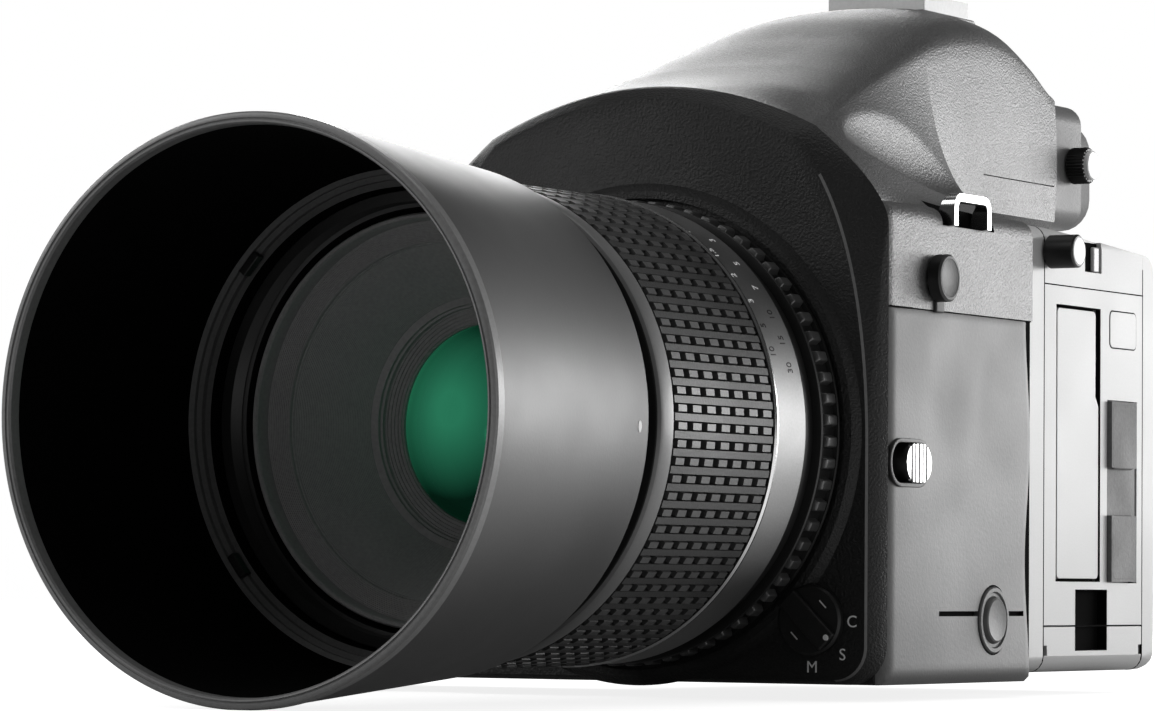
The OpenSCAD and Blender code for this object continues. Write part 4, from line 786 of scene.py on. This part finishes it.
def make_top_cover():
    """Cover over the body with its lug pocket, and the hump with its seam and finder window."""
    front = rings_piece("top_cover_shell", [whole_ring(flare(y), y) for y in cover_rows()], HUMP)
    rows = steps_between(BODY_REAR, HUMP_REAR, 60)
    rear = rings_piece("hump_shell", [whole_ring(hump(y), y) for y in rows], HUMP)
    deck = box("deck_space", (-CHASSIS_HALF_W, -BODY_FRONT - 1, BAND_H - 1),
               (CHASSIS_HALF_W, BODY_REAR + 1, DECK_H), HUMP)
    pocket_line = corner_arc((LUG_POCKET_Y, LUG_POCKET_Z), LUG_POCKET_R, 0, 180, 32)
    cut(front, deck, plate_x("lug_space", pocket_line, LUG_POCKET_X, BODY_HALF_W + 1, SEAM_AND_SHADE))
    seam = box("hump_seam", *HUMP_SEAM, SEAM_AND_SHADE)
    finder = box("finder_space", (-FINDER_HALF_W, BODY_REAR + 2, HUMP_FLOOR + SKIN),
                 (FINDER_HALF_W, HUMP_REAR - SKIN, HUMP_TOP - FINDER_DROP), HUMP)
    window = box("finder_window", (-WINDOW_HALF_W, HUMP_REAR - 4, WINDOW_Z[0]),
                 (WINDOW_HALF_W, HUMP_REAR + 1, WINDOW_Z[1]), HUMP)
    cut(rear, seam, finder, window)
    half = SHOE_HALF_W + 0.6
    side = [(SHOE_Y[0] - 2, HUMP_TOP - 7), (SHOE_Y[0] - 2, SHOE_SEAT - 0.4), (SHOE_Y[0] - 1.6, SHOE_SEAT),
            (SHOE_Y[1] + 1.6, SHOE_SEAT), (SHOE_Y[1] + 7, HUMP_TOP - 4), (SHOE_Y[1] + 7, HUMP_TOP - 9)]
    pedestal = soften(plate_x("shoe_pedestal", side, -half, half, HUMP), 0.35)
    dress(front, "body", "hump_plastic", "top_cover")
    for part in (rear, pedestal):
        dress(part, "body", "hump_plastic")


def front_section(inset, floor, r, side_top, bow, ridge, crown):
    """Half outline of the front cover; the bow is given from the body's side and the shoulder's height."""
    w = BODY_HALF_W - inset
    bow = (BODY_HALF_W - bow[0], SHOULDER_H + bow[1])
    line = [(0, floor)] + corner_arc((w - r, floor + r), r, -90, 0, 12)
    line += [bend((w, side_top), bow, ridge, i / 24) for i in range(25)]
    return line + roof(ridge, crown, RIDGE_RUN[0][4], 24)


def make_front_cover():
    rings = [whole_ring(front_section(*values), -d) for *values, d in FRONT_SECTIONS]
    cover = rings_piece("front_cover_shell", rings, FRONT, sharp=50)
    cut(cover, lathe("mount_space", disc_line(MOUNT_OUTER_R, *MOUNT_CUT), FRONT))

    # Faces along the left and right edges behind the face take the painted highlight
    def painted_highlight(at, normal):
        return -at.y > HIGHLIGHT_EDGE_D and abs(normal.y) < HIGHLIGHT_EDGE_TILT and abs(at.x) > HIGHLIGHT_EDGE_X

    dress(paint(cover, EDGE_PAINTED_HIGHLIGHT, painted_highlight), "body", "front_plastic", "front_cover")
    boss = lathe("mount_boss", [(41.6, 32.2), (44.4, 32.2), (44.2, 32.5), (42.9, 33.5), (41.6, 33.6)], FRONT)
    dress(boss, "body", "front_plastic")


def side_line(share):
    """Row of points over the side cover at a share of its height; edges are rolled, the rear one is wavy."""
    z = BAND_H * share
    rear = BODY_REAR - EDGE_WAVE + EDGE_WAVE * math.cos(math.radians(EDGE_WAVE_TURN * share))
    line = []
    for i in range(SIDE_COLUMNS + 1):
        y = -BODY_FRONT + (rear + BODY_FRONT) * (i / SIDE_COLUMNS) ** SIDE_CROWDING
        fall = max(roll(y + BODY_FRONT + 0.6, 4.0), roll(z + 0.4, 3.0), roll(rear - y + 0.05, 0.7),
                   roll(BAND_H - z + 0.05, 0.5))
        line.append((BODY_HALF_W - fall - lean(y), y, z))
    return line


def slab(name, outside, inside, material):
    """Closed sheet between two grids of points with equally many rows and columns."""
    wide, high = len(outside[0]), len(outside)
    under = wide * high
    faces = []
    for j in range(high - 1):
        for a in range(j * wide, j * wide + wide - 1):
            b = a + under
            faces += [(a, a + 1, a + wide + 1, a + wide), (b, b + wide, b + wide + 1, b + 1)]
    for a in (*range(wide - 1), *range(under - wide, under - 1)):
        faces.append((a, a + under, a + under + 1, a + 1))
    for j in range(high - 1):
        for a in (j * wide, j * wide + wide - 1):
            faces.append((a, a + under, a + under + wide, a + wide))
    return piece(name, [p for line in outside + inside for p in line], faces, material)


def stadium(grow):
    """Outline of the slider's slot, grown by a margin."""
    half, r = (SLIDER_SLOT[0] - SLIDER_SLOT[1]) / 2, SLIDER_SLOT[1] / 2 + grow
    return (corner_arc((SLIDER_Y + half, SLIDER_Z), r, -90, 90, 16)
            + corner_arc((SLIDER_Y - half, SLIDER_Z), r, 90, 270, 16))


def make_side_cover():
    """Rubber side skin, cut for the slider, the port and its groove."""
    outside = [side_line(j / SIDE_ROWS) for j in range(SIDE_ROWS + 1)]
    inside = [[(CHASSIS_HALF_W, y, z) for _, y, z in line] for line in outside]
    skin = slab("side_skin", outside, inside, SIDE)
    # Holes cut with the near-black finish get painted shade on their walls
    slot = plate_x("slider_space", stadium(0.0), CHASSIS_HALF_W - 1, BODY_HALF_W + 1, SEAM_AND_SHADE)
    port = lathe("port_space", disc_line(PORT_R + 0.3, 44, 49), SEAM_AND_SHADE, about_x(PORT_Y, PORT_Z), 64)
    groove = box("groove_space", (BODY_HALF_W - GROOVE_DEPTH, GROOVE_Y[0], GROOVE_Z),
                 (BODY_HALF_W + 1, GROOVE_Y[1], GROOVE_Z + GROOVE_W), SEAM_AND_SHADE)
    dress(cut(skin, slot, port, groove), "body", "side_rubber", "side_cover")


def wall_strip(name, side, low, high, stand=SEAM_STAND):
    """Thin dark strip in a side wall of the digital back, between two places in Y and Z."""
    x0, x1 = sorted((side * (BACK_HALF_W - SEAM_DEPTH), side * (BACK_HALF_W + stand)))
    dark_box(name, (x0, *low), (x1, *high))


def make_side_trim():
    """Slider bezel and a dark pit plate of painted shade, the seam over the side cover, and dark strips
    before the digital back: painted shadow beside the side skin's rear edge.
    """
    bezel = frame_x("slider_bezel", stadium(0.75), stadium(0.02), BODY_HALF_W - 0.6, BODY_HALF_W + 0.15,
                    CAP_GREY)
    dress(soften(bezel, 0.12), "body", "black_plastic")
    strip = box("band_seam", (CHASSIS_HALF_W, -BODY_FRONT + 1.0, BAND_H - 0.2),
                (BODY_HALF_W - 0.1, BODY_REAR - 0.3, BAND_H + 0.06), SEAM_AND_SHADE)
    dress(strip, "body", "black_plastic")
    # Dark strips on both sides: painted shadow, not a part
    low, high = (SHADOW_STRIP_Y[0], BACK_FLOOR + 3), (SHADOW_STRIP_Y[1], BACK_TOP_H - 3)
    for side, name in ((-1, "left"), (1, "right")):
        wall_strip(f"back_shadow_strip_{name}", side, low, high, 0.04)
    # Near-black plate deep in the slot: painted shade
    pit_x = CHASSIS_HALF_W - SLIDER_PIT_DEPTH
    dress(plate_x("slider_pit_shade", stadium(-0.05), pit_x, pit_x + 0.2, SEAM_AND_SHADE), "body", "black_plastic")


def make_caps():
    """Dished port cap, and the sync cap with its strap."""
    x = BODY_HALF_W
    port = [(AXIS_R, 45.3), (PORT_R, 45.3), (PORT_R, x + 0.2), (PORT_R - 0.25, x + 0.45),
            (PORT_R - 0.9, x + 0.45), (PORT_R - 1.15, x + 0.1), (PORT_R - 1.7, x + 0.1), (4.0, x + 0.75),
            (3.7, x + 0.95), (2.9, x + 0.8), (1.6, x + 0.65), (AXIS_R, x + 0.6)]
    cap = lathe("port_cap_disc", port, SIDE, about_x(PORT_Y, PORT_Z), 96)
    dress(cap, "port_cap", "side_rubber", "port_cap")
    sync = [(AXIS_R, x + 0.3), (CAP_R - 0.2, x + 0.3), (CAP_R, x + 0.5), (CAP_R, x + 2.5),
            (CAP_R - 0.35, x + 2.85), (CAP_R - 0.8, x + 2.9), (CAP_R - 1.0, x + 2.8), (AXIS_R, x + 2.8)]
    disc = lathe("sync_cap_disc", sync, BLACK, about_x(CAP_Y, CAP_Z), 96)
    paint(disc, CAP_GREY, lambda at, normal: normal.x > 0.6)
    dress(disc, "sync_cap", "black_rubber", "sync_cap")
    strap = box("sync_cap_strap", (x - 0.3, CAP_Y - 0.8, BAND_H - 0.4),
                (x + 0.6, CAP_Y + 2.4, CAP_Z - CAP_R + 0.6), CAP_GREY)
    dress(soften(strap, 0.3), "body", "black_rubber")


def lug_rings(x0, out, foot, sill, top):
    """Bent strip of a strap lug: two legs that come out of the cover at the sill, joined by a bar."""
    half, high = LUG_W / 2 - LUG_BAR / 2, top - LUG_BAR / 2
    r = LUG_CORNER_R
    path = [(half, foot, 90, LUG_LEG_SHARE), (half, sill - 0.2, 90, LUG_LEG_SHARE), (half, sill, 90, 1.0)]
    for turn in range(0, 91, LUG_STEP):
        a = math.radians(turn)
        path.append((half - r + r * math.cos(a), high - r + r * math.sin(a), 90 + turn, 1.0))
    path += [(-y, z, 360 - angle, reach) for y, z, angle, reach in path[::-1]]
    rings = []
    for y, z, angle, reach in path:
        a = math.radians(angle)
        across = (math.sin(a) * LUG_BAR / 2, -math.cos(a) * LUG_BAR / 2)
        lift = min(1.0, max(0.0, (z - high + r + LUG_SPRING) / (r + LUG_SPRING)))
        inner = x0 + lift * (out - math.copysign(LUG_BAR + 0.5, out))
        outer = x0 + out * reach
        corners = ((inner, -1), (outer, -1), (outer, 1), (inner, 1))
        rings.append([(x, LUG_Y + y + s * across[0], z + s * across[1]) for x, s in corners])
    return rings


def make_lugs():
    right = lug_rings(CHASSIS_HALF_W, LUG_OUT, LUG_FOOT, LUG_POCKET_Z, LUG_TOP)
    left = lug_rings(LEFT_LUG_X, -LUG_OUT, LEFT_LUG_FOOT, LEFT_LUG_SILL, LEFT_LUG_TOP)
    lugs = [soften(rings_piece(f"strap_lug_{name}", rings, CHROME), 0.3, 3)
            for name, rings in (("right", right), ("left", left))]
    dress(lugs[0], "body", "chrome", "strap_lugs")
    dress(lugs[1], "body", "chrome")


def on_dial(u, v, w):
    """Point on the mode dial's face, along and across its bar and out of it."""
    a = math.radians(DIAL_TURN)
    return (DIAL_X + u * math.cos(a) - v * math.sin(a), -DIAL_BAR_FOOT - w,
            DIAL_H + u * math.sin(a) + v * math.cos(a))


def on_front(x, z):
    return lambda u, v, w: (x + u, -FRONT_FACE - MARK_LIFT - w, z + v)


def make_dial():
    face = DIAL_FACE
    line = [(AXIS_R, face), (DIAL_R, face), (DIAL_R, face + 1.1), (DIAL_R - 0.4, face + 1.5),
            (AXIS_R, face + 1.5)]
    disc = lathe("mode_dial_disc", line, BLACK, about_y(DIAL_X, DIAL_H), 96)
    dress(disc, "focus_mode_dial", "black_plastic", "focus_mode_dial")
    bar = box("mode_dial_bar", (-5.6, -2.0, 0), (5.6, 2.0, DIAL_BAR_T), BLACK, on_dial)
    dress(soften(bar, 0.4, 3), "focus_mode_dial", "black_plastic")
    for i, v in enumerate((3.9, -3.9)):
        tick = box(f"mode_dial_line_{i}", (-0.9, v - 0.12, 0), (0.9, v + 0.12, 0.08), PALE, on_dial)
        dress(tick, "focus_mode_dial", "silver")
    x, _, z = on_dial(4.9, 0.7, 0)
    dot = lathe("mode_dial_dot", dot_line((0.55, 0.5), DIAL_BAR_FOOT + DIAL_BAR_T), WHITE, about_y(x, z), 32)
    dress(dot, "focus_mode_dial", "silver")
    for text, x, z in MODE_MARKS:
        dress(letters(f"mode_mark_{text}", text, MODE_MARK_SIZE, on_front(x, z), WHITE), "body", "silver")


# Lens pieces
def lens_radius(at):
    return math.hypot(at.x, at.z - AXIS_H)


def make_hood():
    """Hood with a flocked inside, a grooved rim and its twist fitting."""
    shell = lathe("hood_shell", HOOD_LINE, HOOD_OUT, steps=256)

    def inside(at, normal):
        inward = normal.x * at.x + normal.z * (at.z - AXIS_H)
        return -at.y > HOOD_SEAT_D and (inward < 0 or lens_radius(at) < HOOD_FLANGE_R)

    def flange(at, normal):
        return HOOD_FLANGE_D[0] < -at.y < HOOD_FLANGE_D[1] and lens_radius(at) < HOOD_FLANGE_R

    paint(shell, HOOD_IN, inside)
    paint(shell, FLANGE, flange)
    dress(shell, "hood", "black_metal", "hood")
    dress(lathe("hood_rim", HOOD_RIM_LINE, RIM, steps=256), "hood", "black_metal")
    for i, angle in enumerate(HOOD_TAB_ANGLES):
        a = math.radians(angle)

        def on_fitting(p, q, s):
            r = HOOD_TAB_R + q
            x, up = r * math.cos(a) - p * math.sin(a), r * math.sin(a) + p * math.cos(a)
            return (x, s - HOOD_TAB_D, AXIS_H + up)

        dress(soften(box(f"hood_tab_{i}", *HOOD_TAB, BLACK, on_fitting), 0.2), "hood", "black_metal")
    make_hood_dot()


def make_hood_dot():
    """Index dot laid on the hood's taper."""
    dot = []
    for k in range(24):
        t = 2 * math.pi * k / 24
        d = HOOD_DOT_D + HOOD_DOT_R[0] * math.cos(t)
        turn = math.radians(HOOD_DOT_ANGLE) + HOOD_DOT_R[1] * math.sin(t) / HOOD_DOT_AT_R
        dot.append((HOOD_REAR_R + (d - HOOD_REAR_D) * HOOD_TAPER, d, turn))
    rings = [[about_lens(r + lift, d, turn) for r, d, turn in dot] for lift in (-0.05, 0.05)]
    dress(rings_piece("hood_index_dot", rings, WHITE), "hood", "silver")


def make_filter_ring():
    ring = [(36.4, 96.5), (38, 96.5), (38, FILTER_D - 0.2), (37.8, FILTER_D), (FILTER_R + 0.2, FILTER_D)]
    for i in range(THREAD_TURNS):
        d = FILTER_D - THREAD_PITCH * i
        ring += [(FILTER_R, d), (FILTER_R + 0.35, d - THREAD_PITCH / 2)]
    ring += [(35.4, 103.2), (35.4, 98), (36.4, 98)]
    dress(lathe("filter_ring_thread", ring, BLACK), "body", "black_metal", "filter_ring")


def make_carriage():
    """Carriage with its baffle: a stepped rim, a finely stepped cone and a stepped throat."""
    line = [(31.5, 58), (34.5, 58), (34.5, 102.6), (34.2, 103), (33.7, 103), (33.5, 102.6)]
    for i in range(BAFFLE_FLAT_STEPS):
        r, d = 33.4 - 3.4 * i / BAFFLE_FLAT_STEPS, 99.6 - 1.4 * i / BAFFLE_FLAT_STEPS
        line += [(r, d), (r - 0.16, d), (r - 0.2, d - 0.16), (r - 0.26, d - 0.16)]
    line += [(30.0, 98.2), (29.95, 97.6), (29.8, 97.6)]
    for i in range(BAFFLE_FINE_STEPS):
        r, d = 29.7 - 8.2 * i / BAFFLE_FINE_STEPS, 97.4 - 11.4 * i / BAFFLE_FINE_STEPS
        line += [(r, d), (r - 0.08, d - 0.22)]
    line += [(21.5, 86.0), (20.4, 85.6), (20.4, 84.9), (20, 84.8), (20, 84.2)]
    for i in range(THROAT_STEPS):
        r, d = 19.9 - 0.55 * i, 84.0 - 0.24 * i
        line += [(r, d), (r - 0.3, d), (r - 0.32, d - 0.2)]
    line += [(GLASS_R, 82.6), (GLASS_R, 82), (19.5, 82), (19.5, 62), (31.5, 62)]
    baffle = lathe("lens_baffle", line, BAFFLE, steps=160, sharp=20)
    dress(baffle, "lens_carriage", "black_metal", "lens_carriage")


def make_front_glass():
    dome = []
    for i in range(GLASS_STEPS + 1):
        r = GLASS_R * i / GLASS_STEPS
        dome.append((max(r, AXIS_R), GLASS_CURVE_D + math.sqrt(GLASS_CURVE_R ** 2 - r ** 2)))
    line = dome + [(GLASS_R, 82), (19.5, 82), (19.5, 74), (AXIS_R, 74)]
    dress(lathe("front_glass", line, GLASS, steps=128), "lens_carriage", "coated_glass", "front_element")


def arc_block(radii, distances, angles, shrink):
    """Points of a block on the barrel, drawn in a little at its top, in three pairs below and above."""
    (r0, r1), (d0, d1), (a0, a1) = radii, distances, angles
    rows = []
    for r, s in ((r0, 0.0), (r1, shrink)):
        for share in (0, 0.5, 1):
            a = a0 + s / r1 + (a1 - a0 - 2 * s / r1) * share
            rows += [about_lens(r, d0 + s, a), about_lens(r, d1 - s, a)]
    return rows


def barrel_blocks(name, blocks, material):
    points, faces = [], []
    for block in blocks:
        at, top = len(points), len(points) + len(block) // 2
        points += block
        for i in (0, 2):
            k, t = at + i, top + i
            faces += [(k, k + 2, k + 3, k + 1), (t, t + 1, t + 3, t + 2), (k, t, t + 2, k + 2),
                      (k + 1, k + 3, t + 3, t + 1)]
        last, top_last = top - 2, top + len(block) // 2 - 2
        faces += [(at, at + 1, top + 1, top), (last, top_last, top_last + 1, last + 1)]
    return piece(name, points, faces, material, sharp=20)


def make_focus_ring():
    barrel = lathe("focus_ring_barrel", FOCUS_RING_LINE, BLACK)
    # Outer faces of the lip take the painted highlight
    paint(barrel, LIP_PAINTED_HIGHLIGHT, lambda at, normal: lens_radius(at) > 40.0 and normal.y < 0.3)
    dress(barrel, "focus_ring", "black_metal", "focus_ring")
    base = tube_line(GRIP_WALL_R, GRIP_BASE_R, GRIP_START, GRIP_END)
    # Grip base shows only in the pits, with painted shade
    dress(lathe("grip_base", base, PIT_PAINTED_SHADE), "focus_ring", "black_rubber", "focus_grip")
    make_grip_blocks()


def make_grip_blocks():
    """Rows of the rubber grip: a plain rib and a row of blocks in turn."""
    pitch = 2 * math.pi / GRIP_ROWS
    column = (GRIP_END - GRIP_START) / GRIP_COLUMNS
    foot = GRIP_BASE_R - 0.1
    ribs, blocks = [], []
    for a in (pitch * i for i in range(GRIP_ROWS)):
        ribs.append(arc_block((foot, GRIP_R - 0.15), (GRIP_START, GRIP_END), (a, a + 0.5 * pitch), 0.12))
        for j in range(GRIP_COLUMNS):
            d = GRIP_START + column * (j + 0.17)
            angles = (a + 0.51 * pitch, a + 0.99 * pitch)
            blocks.append(arc_block((foot, GRIP_R), (d, d + 0.64 * column), angles, 0.14))
    dress(barrel_blocks("grip_ribs", ribs, RUBBER), "focus_ring", "black_rubber")
    dress(barrel_blocks("grip_blocks", blocks, BLOCK), "focus_ring", "black_rubber")


def on_band(d, angle):
    """Places of lettering on the scale band, at a distance forward and an angle in degrees."""
    front = BAND_END - BAND_BEAD_L
    r = BAND_R - (d - BAND_START) * (BAND_R - BAND_FRONT_R) / (front - BAND_START) + MARK_LIFT
    return lambda u, v, w: about_lens(r + w - v * BAND_FALL, d + v, math.radians(angle) + u / r)


def make_scale_band():
    front, bead = BAND_END - BAND_BEAD_L, BAND_END - BAND_BEAD_L + 0.05
    line = [(BAND_BORE_R, BAND_START), (BAND_R - 0.3, BAND_START), (BAND_R, BAND_START + 0.3),
            (BAND_FRONT_R, front), (BAND_BORE_R, front)]
    dress(lathe("scale_band", line, SILVER), "body", "silver", "lens_scale_band")
    line = [(37, bead), (40.4, bead), (40.9, bead + 0.2), (40.95, BAND_END - 0.3), (40.6, BAND_END),
            (37, BAND_END)]
    dress(lathe("scale_band_bead", line, CHROME), "body", "chrome")
    marks = [(text, d, angle) for d, row in SCALE_ROWS for text, angle in row]
    for i, (text, d, angle) in enumerate(marks):
        colour = WHITE if angle > SCALE_WHITE_FROM else BLACK
        mark = letters(f"scale_mark_{i}", text, SCALE_MARK_SIZE, on_band(d, angle), colour)
        dress(mark, "body", "silver")
    angles = [math.radians(angle) for angle in TICK_ANGLES]
    dress(barrel_blocks("index_tick", [arc_block(TICK_R, TICK_D, angles, 0.0)], WHITE), "body", "silver")


def make_rear_barrel():
    barrel = lathe("rear_barrel", REAR_BARREL_LINE, BLACK, steps=256)
    dress(barrel, "body", "black_metal", "lens_rear_barrel")
    pitch = 2 * math.pi / BUMP_COUNT
    spans = [(pitch * (i + 0.17), pitch * (i + 0.83)) for i in range(BUMP_COUNT)]
    bumps = [arc_block(BUMP_R, BUMP_D, span, 0.4) for span in spans]
    dress(soften(barrel_blocks("rear_barrel_bumps", bumps, KNURL), 0.3, 3), "body", "black_metal")


# Digital back pieces
def back_outline(y, grow):
    fall = (BACK_TOP_H - BACK_TOP_REAR_H) / (BACK_REAR - BACK_SEAM)
    top = BACK_TOP_H - max(0.0, y - BACK_SEAM) * fall
    return round_outline((-BACK_HALF_W - grow, BACK_FLOOR - grow), (BACK_HALF_W + grow, top + grow),
                         BACK_CORNER_R + grow)


def make_back_seams():
    for name, y in (("front", BACK_SEAM), ("rear", BACK_REAR_SEAM)):
        rows = [[(x, y + s, z) for x, z in back_outline(y, grow)]
                for s, grow in ((-0.13, -0.4), (-0.13, SEAM_STAND), (0.13, SEAM_STAND), (0.13, -0.4))]
        dress(rings_piece(f"back_seam_{name}", rows, SEAM_AND_SHADE, closed=True), "body", "back_dark")
    for side, side_name in ((-1, "left"), (1, "right")):
        for name, z in (("top", TOP_SEAM), ("battery", BATTERY_SEAM)):
            wall_strip(f"back_seam_{name}_{side_name}", side, (BACK_SEAM, z - SEAM_HALF),
                       (BACK_REAR_SEAM, z + SEAM_HALF))


def door_outline():
    """Outline of the card door, with rounded corners and stepped in beside the finger slot."""
    r = DOOR_CORNER_R
    y0, z0, y1, z1 = DOOR_Y + 0.35, DOOR_FLOOR + 0.3, DOOR_FAR - 0.45, DOOR_TOP - 0.35
    step = y1 - DOOR_STEP
    return (corner_arc((y1 - r, z0 + r), r, -90, 0, 6) + [(y1, DOOR_STEP_Z - 1.6), (step, DOOR_STEP_Z + 0.2)]
            + corner_arc((step - r, z1 - r), r, 0, 90, 6) + corner_arc((y0 + r, z1 - r), r, 90, 180, 6)
            + corner_arc((y0 + r, z0 + r), r, 180, 270, 6))


def make_card_door():
    """Card door over a dark bay whose edge shows on three sides, away from the hinge."""
    x = BACK_HALF_W
    door = soften(plate_x("card_door_panel", door_outline(), x - DOOR_T, x - 0.05, BACK), 0.12)
    dress(door, "card_door", "back_alloy", "card_door")
    line = round_outline((DOOR_Y - 0.25, DOOR_FLOOR - 0.25), (DOOR_FAR + 0.25, DOOR_TOP + 0.25), 0.9)
    bay = plate_x("card_bay_lining", line, x - DOOR_T - 0.35, x - DOOR_T - 0.12, SEAM_AND_SHADE)
    dress(bay, "body", "back_dark")
    near, far = SEAM_STAND, SEAM_STAND + 2 * SEAM_HALF
    edges = (("top", (DOOR_Y + 1.5, DOOR_TOP + near), (DOOR_FAR + far, DOOR_TOP + far)),
             ("bottom", (DOOR_Y + 1.5, DOOR_FLOOR - far), (DOOR_FAR + far, DOOR_FLOOR - near)),
             ("far", (DOOR_FAR + near, DOOR_FLOOR - far), (DOOR_FAR + far, DOOR_TOP + far)))
    for name, low, high in edges:
        dark_box(f"card_bay_{name}", (x - 0.9, *low), (x + SEAM_STAND, *high))


def make_bare_plate():
    x, edge = BACK_HALF_W, PLATE_EDGE
    (y0, z0), (y1, z1) = PLATE_LOW, PLATE_HIGH
    outer = round_outline(PLATE_LOW, PLATE_HIGH, PLATE_R)
    inner = round_outline((y0 + edge, z0 + edge), (y1 - edge, z1 - edge), PLATE_R - 0.2)
    dress(frame_x("plate_edge", outer, inner, x - 0.2, x + SEAM_STAND, SEAM_AND_SHADE), "body", "back_dark")
    dress(soften(plate_x("bare_plate", inner, x - 0.1, x + 0.12, BACK), 0.08), "body", "back_alloy")


def make_notch():
    """Dark sheets inside the battery's finger notch, painted shade in the recess, its upper part on the case
    and its lower on the battery.
    """
    x, deep = BACK_HALF_W + 0.02, BACK_HALF_W - NOTCH_DEPTH
    y0, y1 = NOTCH_Y
    parts = (("upper", "body", BATTERY_SEAM, NOTCH_TOP, NOTCH_TOP),
             ("lower", "battery", NOTCH_FLOOR, BATTERY_SEAM - 0.2, NOTCH_FLOOR))
    for name, body, z0, z1, end in parts:
        lining = (("back", (deep - 0.1, y0, z0), (deep + 0.06, y1, z1)),
                  ("left", (deep, y0 - 0.05, z0), (x, y0 + 0.12, z1)),
                  ("right", (deep, y1 - 0.12, z0), (x, y1 + 0.05, z1)),
                  ("end", (deep, y0, end - 0.09), (x, y1, end + 0.09)))
        # Near-black sheets on the notch's walls: painted shade
        for part, low, high in lining:
            dark_box(f"notch_{name}_{part}", low, high, body)


def make_release_knob():
    x, end = BACK_HALF_W, BACK_HALF_W + LOCK_L
    place = about_x(LOCK_Y, LOCK_Z)
    shaft = [(AXIS_R, x - 2.4), (LOCK_STEM_R, x - 2.4), (LOCK_STEM_R, x + 0.3), (LOCK_R - 0.3, x + 0.3),
             (LOCK_R, x + 0.6), (LOCK_R, end - 0.4), (LOCK_R - 0.3, end - 0.1), (AXIS_R, end - 0.1)]
    knob = lathe("release_knob_shaft", shaft, BLACK, place, 64)
    dress(knob, "release_knob", "black_metal", "release_knob")
    face = [(AXIS_R, end - 0.15), (LOCK_R - 0.45, end - 0.15), (LOCK_R - 0.6, end), (AXIS_R, end + 0.02)]
    dress(lathe("release_knob_end", face, PALE, place, 64), "release_knob", "silver")


def make_port_pads():
    x0, x1 = (BACK_HALF_W + out for out in PAD_X)
    for name, z in zip(("low", "high"), PAD_Z):
        line = round_outline((PAD_Y[0], z), (PAD_Y[1], z + PAD_H), PAD_R)
        pad = plate_x(f"port_pad_{name}", line, x0, x1, PORT_RUBBER)
        dress(soften(pad, 0.55, 3), "port_cover", "side_rubber")


def make_catch():
    """Dark recess in the top cover with the catch's pale bolt."""
    x = BACK_HALF_W
    # Near-black sheet at the back of the recess: painted shade
    dark_box("catch_lining", (x - 1.3, CATCH_Y[0], TOP_SEAM + 3.1), (x - 1.1, CATCH_Y[1], CATCH_TOP))
    bolt = box("catch_bolt", (x - 1.15, BOLT_Y[0], TOP_SEAM + 3.4), (x - 0.3, BOLT_Y[1], BOLT_TOP), PALE)
    dress(soften(bolt, 0.25), "body", "silver")


def make_finder_knob():
    """Knurled eyesight knob with a pale end, a stem and a ring of white dots, painted highlights on the
    knurl.
    """
    place = about_x(KNOB_Y, KNOB_Z)
    rim, end = KNOB_X + KNOB_L - 0.9, KNOB_X + KNOB_L
    side = ((KNOB_X, KNOB_R - 0.25), (KNOB_X + 0.25, KNOB_R), (rim - 0.3, KNOB_R), (rim, KNOB_R - 0.25))
    teeth = [(KNOB_TOOTH * (k % 2), math.pi * k / KNOB_TEETH) for k in range(2 * KNOB_TEETH)]
    rings = [[place(r - dip, x, turn) for dip, turn in teeth] for x, r in side]
    dress(rings_piece("finder_knob_rim", rings, BLACK), "diopter_knob", "black_plastic", "diopter_knob")
    face = [(AXIS_R, KNOB_X + 2), (KNOB_R - 0.75, KNOB_X + 2), (KNOB_R - 0.75, end - 0.2),
            (KNOB_R - 0.95, end), (AXIS_R, end)]
    dress(lathe("finder_knob_end", face, PALE, place, 64), "diopter_knob", "silver")
    stem = disc_line(KNOB_STEM_R, KNOB_X - 4, KNOB_X + 0.5)
    dress(lathe("finder_knob_stem", stem, BLACK, place, 32), "diopter_knob", "black_plastic")
    # White dots: painted glints of the knurl
    for k in range(KNOB_GLINTS):
        _, y, z = place(KNOB_R - 0.45, 0, 2 * math.pi * k / KNOB_GLINTS)
        dot = lathe(f"finder_knob_glint_{k}", dot_line((0.17, 0.15), rim - 0.02), WHITE, about_x(y, z), 10)
        dress(dot, "diopter_knob", "silver")


def finish_nodes():
    for material, edge, names in NODE_FINISH:
        for node in (NODES[name] for name in names.split()):
            mesh = node.data
            mesh.materials.clear()
            mesh.materials.append(material)
            if "custom_normal" in mesh.attributes:
                mesh.attributes.remove(mesh.attributes["custom_normal"])
            mesh.polygons.foreach_set("use_smooth", [True] * len(mesh.polygons))
            node.modifiers.new("joined_faces", "WELD").merge_threshold = WELD_GAP * MM
            if edge:
                soften(node, edge)
            else:
                even_normals(node)


bpy.context.scene.view_settings.view_transform = "Standard"
make_camera()
make_world()
make_floor()
make_lights()
finish_nodes()
make_top_cover()
make_front_cover()
make_side_cover()
make_side_trim()
make_caps()
make_lugs()
make_dial()
make_hood()
make_filter_ring()
make_carriage()
make_front_glass()
make_focus_ring()
make_scale_band()
make_rear_barrel()
make_back_seams()
make_card_door()
make_bare_plate()
make_notch()
make_release_knob()
make_port_pads()
make_catch()
make_finder_knob()
